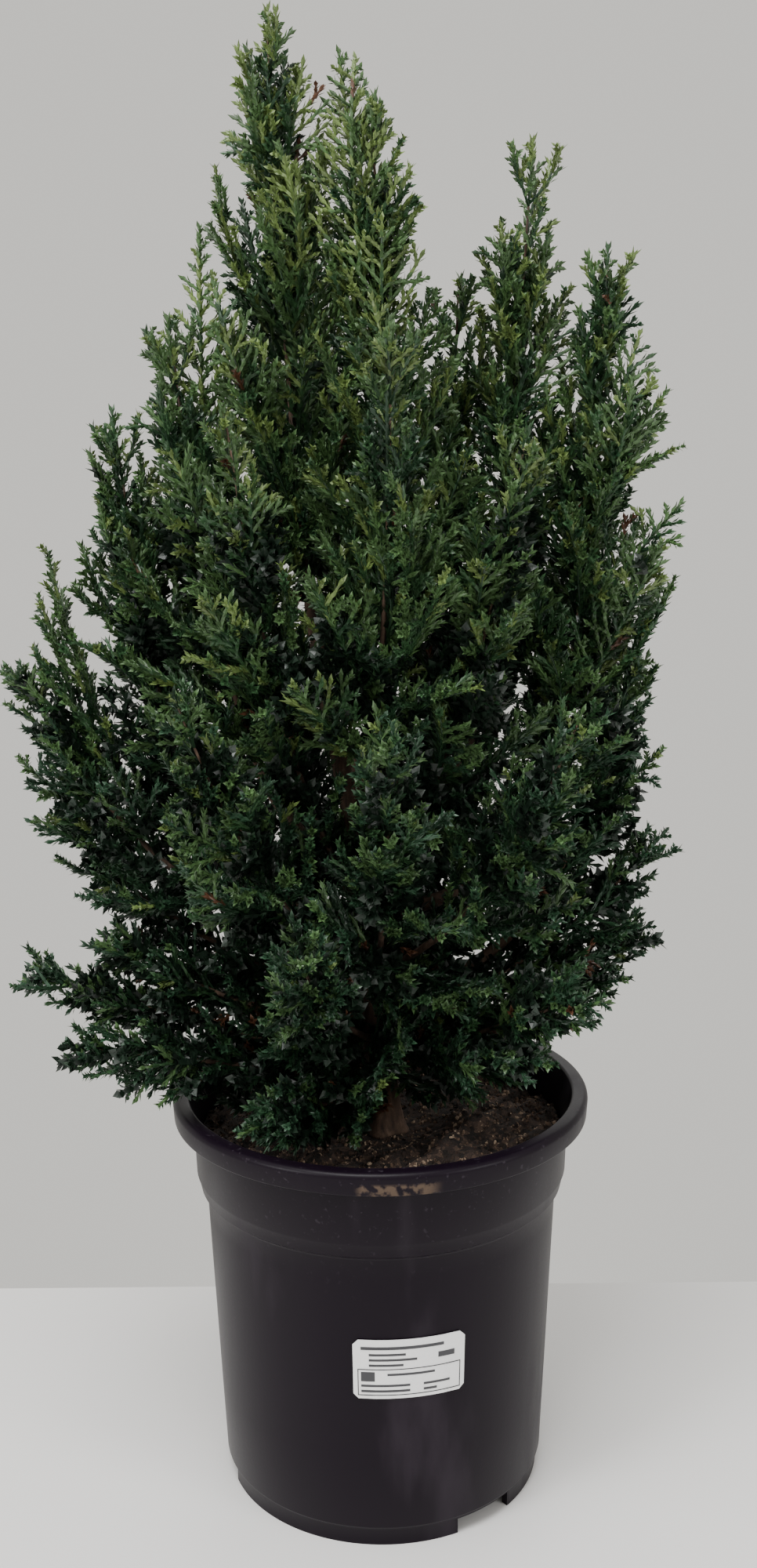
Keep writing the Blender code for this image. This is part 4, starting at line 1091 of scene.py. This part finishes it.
def turnedPiece(name, profile, sides):
    # turn a line of (radius, height) points that starts and ends on the axis
    points, faces, rings = [], [], []
    for radius, height in profile:
        first = len(points)
        if radius == 0:
            points.append((0, 0, height))
            rings.append([first])
            continue
        points += ringSpots(radius, height, sides)
        rings.append(list(range(first, first + sides)))
    for low, high in zip(rings, rings[1:]):
        for i in range(sides):
            j = (i + 1) % sides
            if len(low) == 1:
                faces.append((low[0], high[j], high[i]))
            elif len(high) == 1:
                faces.append((low[i], low[j], high[0]))
            else:
                faces.append((low[i], low[j], high[j], high[i]))
    return plainMesh(name, points, faces)


def faceOutwards(mesh):
    bm = bmesh.new()
    bm.from_mesh(mesh)
    bmesh.ops.remove_doubles(bm, verts=bm.verts, dist=1e-6)
    bmesh.ops.recalc_face_normals(bm, faces=bm.faces)
    bm.to_mesh(mesh)
    bm.free()


def arc(centre, radius, start, end, steps):
    angles = [math.radians(start + (end - start) * i / steps) for i in range(steps + 1)]
    return [(centre[0] + radius * math.cos(a), centre[1] + radius * math.sin(a)) for a in angles]


def potProfile():
    # the section, up the outside, over the rim and down the inside
    setup = potSetup
    rimBottom = setup["height"] - setup["rimDepth"]
    floorTop = setup["floorHeight"] + setup["floorThickness"]
    wall, foot, shoulder = setup["wall"], setup["foot"], setup["bodyTopHeight"]
    hub, floor = setup["hub"], setup["floorHeight"]
    profile = [(0, 0), (hub, 0), (hub, floor), (foot - 2 * wall, floor), (foot - 2 * wall, 0),
               (foot, 0), (foot, floor)]
    corner = setup["footCorner"]
    profile += arc((setup["bodyFoot"] - corner, setup["bodyFootHeight"] + corner), corner, -90, 0, 3)
    profile += [(bodyRadius(height), height) for height in setup["bodyStops"]]
    profile += [(setup["bodyTop"], shoulder)]
    profile += [(setup["bodyTop"] + out, shoulder + rise) for out, rise in setup["step"]]
    corner = setup["bandCorner"]
    profile += [(setup["bandFoot"] - corner, setup["bandFootHeight"] - corner),
                (setup["bandFoot"], setup["bandFootHeight"] + corner),
                (setup["bandTop"], rimBottom - setup["rimEdge"]),
                (setup["bandTop"] + setup["rimRoot"], rimBottom)]
    profile += arc((setup["rimRadius"] - setup["rimUndercut"], rimBottom + setup["rimEdge"]),
                   setup["rimEdge"], -90, 0, 3)
    corner = setup["rimCorner"]
    profile += arc((setup["rimRadius"] - corner, setup["height"] - corner), corner, 0, 90, 8)
    corner = setup["rimInnerCorner"]
    profile += arc((setup["rimInner"] + corner, setup["height"] - corner), corner, 90, 180, 5)
    return profile + [(setup["bandTop"] - wall, rimBottom),
                      (setup["bandFoot"] - wall, setup["bandFootHeight"]),
                      (setup["bodyTop"] - wall, shoulder), (bodyRadius(floorTop) - wall, floorTop),
                      (0, floorTop)]


def cutFootGap(pot, angle):
    # a gap through the foot for the water to run off
    setup = potSetup
    bm = bmesh.new()
    bmesh.ops.create_cube(bm, size=1.0)
    cutMesh = bpy.data.meshes.new("footGap")
    bm.to_mesh(cutMesh)
    bm.free()
    cutter = linked("footGap", cutMesh)
    cutter.scale = (setup["gapWidth"], setup["gapDepth"],
                    2 * (setup["floorHeight"] - setup["gapShort"]))
    cutter.rotation_euler = (0, 0, angle)
    cutter.location = (setup["foot"] * math.sin(angle), -setup["foot"] * math.cos(angle), 0)
    cut = pot.modifiers.new("cut", "BOOLEAN")
    cut.operation = "DIFFERENCE"
    cut.object = cutter
    pot.data = evaluatedMesh(pot)
    pot.modifiers.clear()
    bpy.data.objects.remove(cutter)


def addPot(finish):
    setup = potSetup
    mesh = turnedPiece("potShell", potProfile(), setup["sides"])
    faceOutwards(mesh)
    pot = linked("potShell", mesh)
    for i in range(setup["gaps"]):
        cutFootGap(pot, setup["gapAngle"] + i * fullTurn / setup["gaps"])
    shell = pot.data
    bpy.data.objects.remove(pot)
    shell.shade_smooth()
    shell.set_sharp_from_angle(angle=setup["sharpEdge"])
    shell.name = "potShell"
    addPiece("potShell", shell, [finish], ["pot"])
    print("pot made")


# Label: a plain sticker with grey rules where the print would be

labelSetup = {
    "left": math.radians(-9.2),
    "right": math.radians(26.3),
    "bottom": 0.0830,
    "top": 0.1140,
    "lift": 0.00122,
    "ink": 0.00008,
    "sunk": 0.0002,
    "stepsAcross": 24,
    "rules": [    # left, right, bottom and top, each as a share of the label
        (0.07, 0.80, 0.840, 0.890), (0.14, 0.46, 0.735, 0.772), (0.14, 0.56, 0.645, 0.682),
        (0.14, 0.44, 0.555, 0.592), (0.75, 0.90, 0.640, 0.730), (0.04, 0.96, 0.496, 0.510),
        (0.04, 0.96, 0.056, 0.070), (0.04, 0.048, 0.056, 0.510), (0.952, 0.96, 0.056, 0.510),
        (0.07, 0.19, 0.300, 0.460), (0.30, 0.72, 0.395, 0.432), (0.07, 0.50, 0.205, 0.242),
        (0.62, 0.86, 0.205, 0.242), (0.07, 0.50, 0.112, 0.150), (0.62, 0.74, 0.112, 0.150)],
}


def addRules(ink):
    setup = labelSetup
    width, height = setup["right"] - setup["left"], setup["top"] - setup["bottom"]
    parts = []
    for left, right, bottom, top in setup["rules"]:
        steps = max(2, int((right - left) * setup["stepsAcross"]))
        points, faces = [], []
        for lift in (setup["lift"] - setup["sunk"], setup["lift"] + setup["ink"]):
            for i in range(steps + 1):
                turn = setup["left"] + width * (left + (right - left) * i / steps)
                for share in (bottom, top):
                    level = setup["bottom"] + height * share
                    radius = bodyRadius(level) + lift
                    points.append((radius * math.sin(turn), -radius * math.cos(turn), level))
        outer = 2 * (steps + 1)
        for i in range(steps):
            a, b = 2 * i, 2 * i + 2
            faces += [(outer + a, outer + b, outer + b + 1, outer + a + 1),
                      (a, a + 1, b + 1, b), (a, b, outer + b, outer + a),
                      (a + 1, outer + a + 1, outer + b + 1, b + 1)]
        last = 2 * steps
        faces += [(0, outer, outer + 1, 1), (last, last + 1, outer + last + 1, outer + last)]
        parts.append((points, faces))
    addPiece("labelRules", joinedMesh("labelRules", parts), [ink])
    print("label rules made")


# Soil: a lumpy peat top with crumbs strewn over it

soilSetup = {
    "rings": 70,
    "sides": 150,
    "mound": 0.0110,
    "moundPlace": (0.052, -0.012),
    "moundSpread": 0.030,
    "lump": 0.0022,
    "coarse": (190, 170),        # how close the lumps stand, two sets of them
    "fine": (310, 260),
    "shifts": (1.3, -0.4, 2.0),
    "fineShare": 0.6,
    "grain": 0.0016,
    "grainScale": 260,
    "grainKind": (1.0, 2.0, 4),  # its roughness, its steps in size and their number
    "grainAtTrunk": 0.3,
    "flat": 0.022,
    "edge": 0.0918,
    "bandLift": 0.001,
    "slack": 0.0006,
    "bottom": 0.0108,
    "crumbs": 4200,
    "crumbSize": (0.5, 2.1),
    "crumbRadius": 0.001,
    "crumbShape": (0.7, 0.5),    # its breadth and height to its length
    "crumbTurns": (6.28, 6.28, 6.28),
    "crumbSeeds": (4, 2, 3),     # for their places, turns and sizes
}


def soilHeight(x, y):
    setup = soilSetup
    away = (x - setup["moundPlace"][0]) ** 2 + (y - setup["moundPlace"][1]) ** 2
    mound = setup["mound"] * math.exp(-away / (2 * setup["moundSpread"] ** 2))
    coarse, fine, shifts = setup["coarse"], setup["fine"], setup["shifts"]
    lumps = (math.sin(x * coarse[0] + shifts[0]) * math.cos(y * coarse[1] + shifts[1])
             + setup["fineShare"] * math.sin(x * fine[0] - y * fine[1] + shifts[2]))
    line = trunkSetup["line"]
    fromTrunk = math.hypot(x - line[0][0], y - line[0][1])
    blend = within((fromTrunk - setup["flat"]) / setup["flat"])
    spot = Vector((x, y, 0)) * setup["grainScale"]
    grain = noise.fractal(spot, *setup["grainKind"]) * setup["grain"]
    grain *= between(setup["grainAtTrunk"], 1.0, blend)
    return soilLevel + blend * (mound + setup["lump"] * lumps) + grain


def crumbTree(finish):
    setup = soilSetup
    board, top, (small, large, density) = newTree("crumbs", ("Smallest", "Largest", "Density"))
    placeSeed, turnSeed, sizeSeed = setup["crumbSeeds"]
    points = board.node("GeometryNodeDistributePointsOnFaces", values={
        "Mesh": top, "Density": density, "Seed": placeSeed})
    crumb = board.node("GeometryNodeMeshIcoSphere", values={"Radius": setup["crumbRadius"],
                                                            "Subdivisions": 1})
    turn = board.node("FunctionNodeRandomValue", {"data_type": "FLOAT_VECTOR"},
                      {"Min": (0, 0, 0), "Max": setup["crumbTurns"], "Seed": turnSeed})
    size = board.random(0.0, 1.0, sizeSeed)
    size = small + (large - small) * size * size * size
    breadth, height = setup["crumbShape"]
    squat = board.node("ShaderNodeCombineXYZ", values={0: size, 1: size * breadth,
                                                       2: size * height})
    placed = board.node("GeometryNodeInstanceOnPoints", values={
        "Points": points, "Instance": crumb, "Rotation": turn, "Scale": squat})
    return closeTree(board, board.dressed(placed, finish).socket)


def soilShapes():
    # the top alone, for the crumbs to lie on, and the whole body down to the pot's floor
    setup, pot = soilSetup, potSetup
    sides, rings = setup["sides"], setup["rings"]
    points = [(0, 0, soilHeight(0, 0))]
    for ring in range(1, rings + 1):
        points += [(x, y, soilHeight(x, y))
                   for x, y, _ in ringSpots(setup["edge"] * ring / rings, 0, sides)]
    faces = [(0, 1 + i, 1 + (i + 1) % sides) for i in range(sides)]
    for ring in range(rings - 1):
        low, high = 1 + ring * sides, 1 + (ring + 1) * sides
        faces += [(low + i, high + i, high + (i + 1) % sides, low + (i + 1) % sides)
                  for i in range(sides)]
    top = plainMesh("soilTop", list(points), list(faces))
    last = 1 + (rings - 1) * sides
    inset = pot["wall"] + setup["slack"]
    for radius, height in ((pot["bandFoot"], pot["bandFootHeight"] + setup["bandLift"]),
                           (pot["bodyTop"], pot["bodyTopHeight"]),
                           (bodyRadius(setup["bottom"]), setup["bottom"])):
        first = len(points)
        points += ringSpots(radius - inset, height, sides)
        faces += [(last + i, first + i, first + (i + 1) % sides, last + (i + 1) % sides)
                  for i in range(sides)]
        last = first
    faces.append(tuple(reversed(range(last, last + sides))))
    body = plainMesh("soilBody", points, faces)
    body.shade_smooth()
    return top, body


def addSoil(finish, crumbFinish):
    setup = soilSetup
    top, body = soilShapes()
    addPiece("soilBody", body, [finish], ["soil"])
    small, large = setup["crumbSize"]
    density = setup["crumbs"] / (math.pi * setup["edge"] ** 2)
    wanted = {"Smallest": small, "Largest": large, "Density": density}
    crumbs = solvedMesh(linked("holder", top), crumbTree(crumbFinish), wanted, "soilCrumbs")
    addPiece("soilCrumbs", crumbs, None)
    print("soil made")


# Finishes

# A grain is a scale and a detail, patches add two steps, and a relief is strength and depth
leafLook = {
    "rough": 0.43,
    "patches": (70.0, 2.0),
    "specks": (900.0, 1.0),
    "patchShare": 0.6,
    "tones": (0.62, 1.38),       # its darkest and lightest green, to its own colour
    "toneSteps": (0.34, 0.66),
    "relief": (0.25, 0.0004),
}
barkLook = {
    "rough": 0.88,
    "stretch": (260.0, 260.0, 40.0),
    "cracks": (1.6, 4.0),
    "fine": (1500.0, 2.0),
    "crackShare": 0.8,
    "stops": [(0.30, (0.022, 0.013, 0.009)), (0.55, (0.085, 0.050, 0.032)),
              (0.80, (0.190, 0.125, 0.085))],
    "relief": (0.6, 0.0006),
}
potLook = {
    "rough": 0.34,
    "shine": 0.13,
    "black": (0.0050, 0.0024, 0.0058),
    "dust": (0.078, 0.064, 0.082),
    "streakStretch": (34.0, 34.0, 9.0),
    "streaks": (1.0, 5.0, 0.52, 0.78),
    "streakDust": 0.20,
    "streakRough": 0.16,
    "scuffs": (420.0, 3.0, 0.62, 0.74),
    "scuffHeights": (0.12, 0.20),
    "scuffDust": 0.26,
    "dirt": (0.098, 0.068, 0.048),
    "dirtHeights": (0.1930, 0.2010),      # the smear on the rim's front
    "dirtTurns": (math.radians(-7.0), math.radians(16.0)),
    "dirtEdges": (0.002, 0.05, 0.08),     # how soft it ends up and down, left and right
    "dirtPatches": (260.0, 4.0, 0.42, 0.60),
    "dirtShare": 0.85,
    "dirtRough": 0.35,
    "grain": (900.0, 1.0),
    "grainRough": 0.06,
    "dents": (700.0, 2.0),
    "relief": (0.06, 0.0004),
}
peatLook = {
    "rough": 0.95,
    "cells": 420.0,
    "fine": (1300.0, 3.0),
    "cellShare": 0.75,
    "relief": (0.7, 0.0010),
    "stops": [(0.15, (0.007, 0.005, 0.004)), (0.50, (0.026, 0.016, 0.012)),
              (0.85, (0.072, 0.044, 0.030))],
    "crumbStops": [(0.20, (0.010, 0.006, 0.005)), (0.50, (0.045, 0.026, 0.018)),
                   (0.72, (0.140, 0.086, 0.056)), (0.90, (0.400, 0.300, 0.210))],
}
paperLook = {
    "rough": 0.42,
    "white": (0.82, 0.82, 0.82),
    "ink": (0.035, 0.035, 0.040),
    "fibre": (600.0, 3.0),
    "fibreShade": 0.90,
    "relief": (0.04, 0.0002),
}


def leafFinish(name, colour):
    look = leafLook
    material, board, shader = newFinish(name, look["rough"])
    specks = board.grain(*look["specks"])
    share = board.grain(*look["patches"]) * look["patchShare"] + specks * (1 - look["patchShare"])
    darkest, lightest = [tuple(tone * c for c in colour) for tone in look["tones"]]
    green = board.mix(board.step(share, *look["toneSteps"]), darkest, lightest)
    coat(board, shader, green, specks, look["relief"])
    return material


def barkFinish():
    look = barkLook
    material, board, shader = newFinish("barkBrown", look["rough"])
    long = board.node("ShaderNodeMapping", values={"Vector": board.place(),
                                                   "Scale": look["stretch"]})
    cracks = board.grain(*look["cracks"], long)
    share = cracks * look["crackShare"] + board.grain(*look["fine"]) * (1 - look["crackShare"])
    coat(board, shader, board.ramp(share, look["stops"]), cracks, look["relief"])
    return material


def potFinish():
    look = potLook
    material, board, shader = newFinish("potPlastic", look["rough"])
    shader.inputs["Specular IOR Level"].default_value = look["shine"]
    place = board.place()
    split = board.node("ShaderNodeSeparateXYZ", values={"Vector": place})
    x, y, z = [Wire(board, split.socket.node.outputs[i]) for i in range(3)]
    turn = board.node("ShaderNodeMath", {"operation": "ARCTAN2"}, {0: x, 1: 0.0 - y})
    low, high = look["dirtHeights"]
    left, right = look["dirtTurns"]
    edge, leftEdge, rightEdge = look["dirtEdges"]
    band = board.step(z, low, low + edge) * (1.0 - board.step(z, high - edge, high))
    reach = board.step(turn, left, left + leftEdge)
    reach = reach * (1.0 - board.step(turn, right - rightEdge, right))
    smear = band * reach * board.patches(*look["dirtPatches"])
    long = board.node("ShaderNodeMapping", values={"Vector": place, "Scale": look["streakStretch"]})
    streaks = board.patches(*look["streaks"], long)
    scuffs = board.patches(*look["scuffs"]) * board.step(z, *look["scuffHeights"])
    dust = streaks * look["streakDust"] + scuffs * look["scuffDust"]
    paint = board.mix(dust, look["black"], look["dust"])
    paint = board.mix(smear * look["dirtShare"], paint, look["dirt"])
    rough = (look["rough"] + streaks * look["streakRough"] + smear * look["dirtRough"]
             + board.grain(*look["grain"]) * look["grainRough"])
    board.feed(shader.inputs["Roughness"], rough)
    coat(board, shader, paint, board.grain(*look["dents"]), look["relief"])
    return material


def peatFinish(name, stops):
    look = peatLook
    material, board, shader = newFinish(name, look["rough"])
    cells = board.node("ShaderNodeTexVoronoi", values={"Vector": board.place(),
                                                       "Scale": look["cells"]}, out="Color")
    tone = board.node("ShaderNodeSeparateColor", values={"Color": cells})
    fine = board.grain(*look["fine"])
    share = tone * look["cellShare"] + fine * (1 - look["cellShare"])
    coat(board, shader, board.ramp(share, stops), fine, look["relief"])
    return material


def paperFinish(name, colour):
    look = paperLook
    material, board, shader = newFinish(name, look["rough"])
    fibre = board.grain(*look["fibre"])
    paint = board.mix(fibre, colour, tuple(look["fibreShade"] * c for c in colour))
    coat(board, shader, paint, fibre, look["relief"])
    return material


def main():
    addCamera()
    addStage()
    bark = barkFinish()
    finishes = [leafFinish(name, colour) for name, colour in leafColours]
    addPot(potFinish())
    addSoil(peatFinish("peat", peatLook["stops"]), peatFinish("peatCrumbs", peatLook["crumbStops"]))
    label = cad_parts["label"]
    label.data.materials.clear()
    label.data.materials.append(paperFinish("labelPaper", paperLook["white"]))
    addRules(paperFinish("ruleInk", paperLook["ink"]))
    addLimbs(bark)
    addFoliage(finishes, bark)


main()
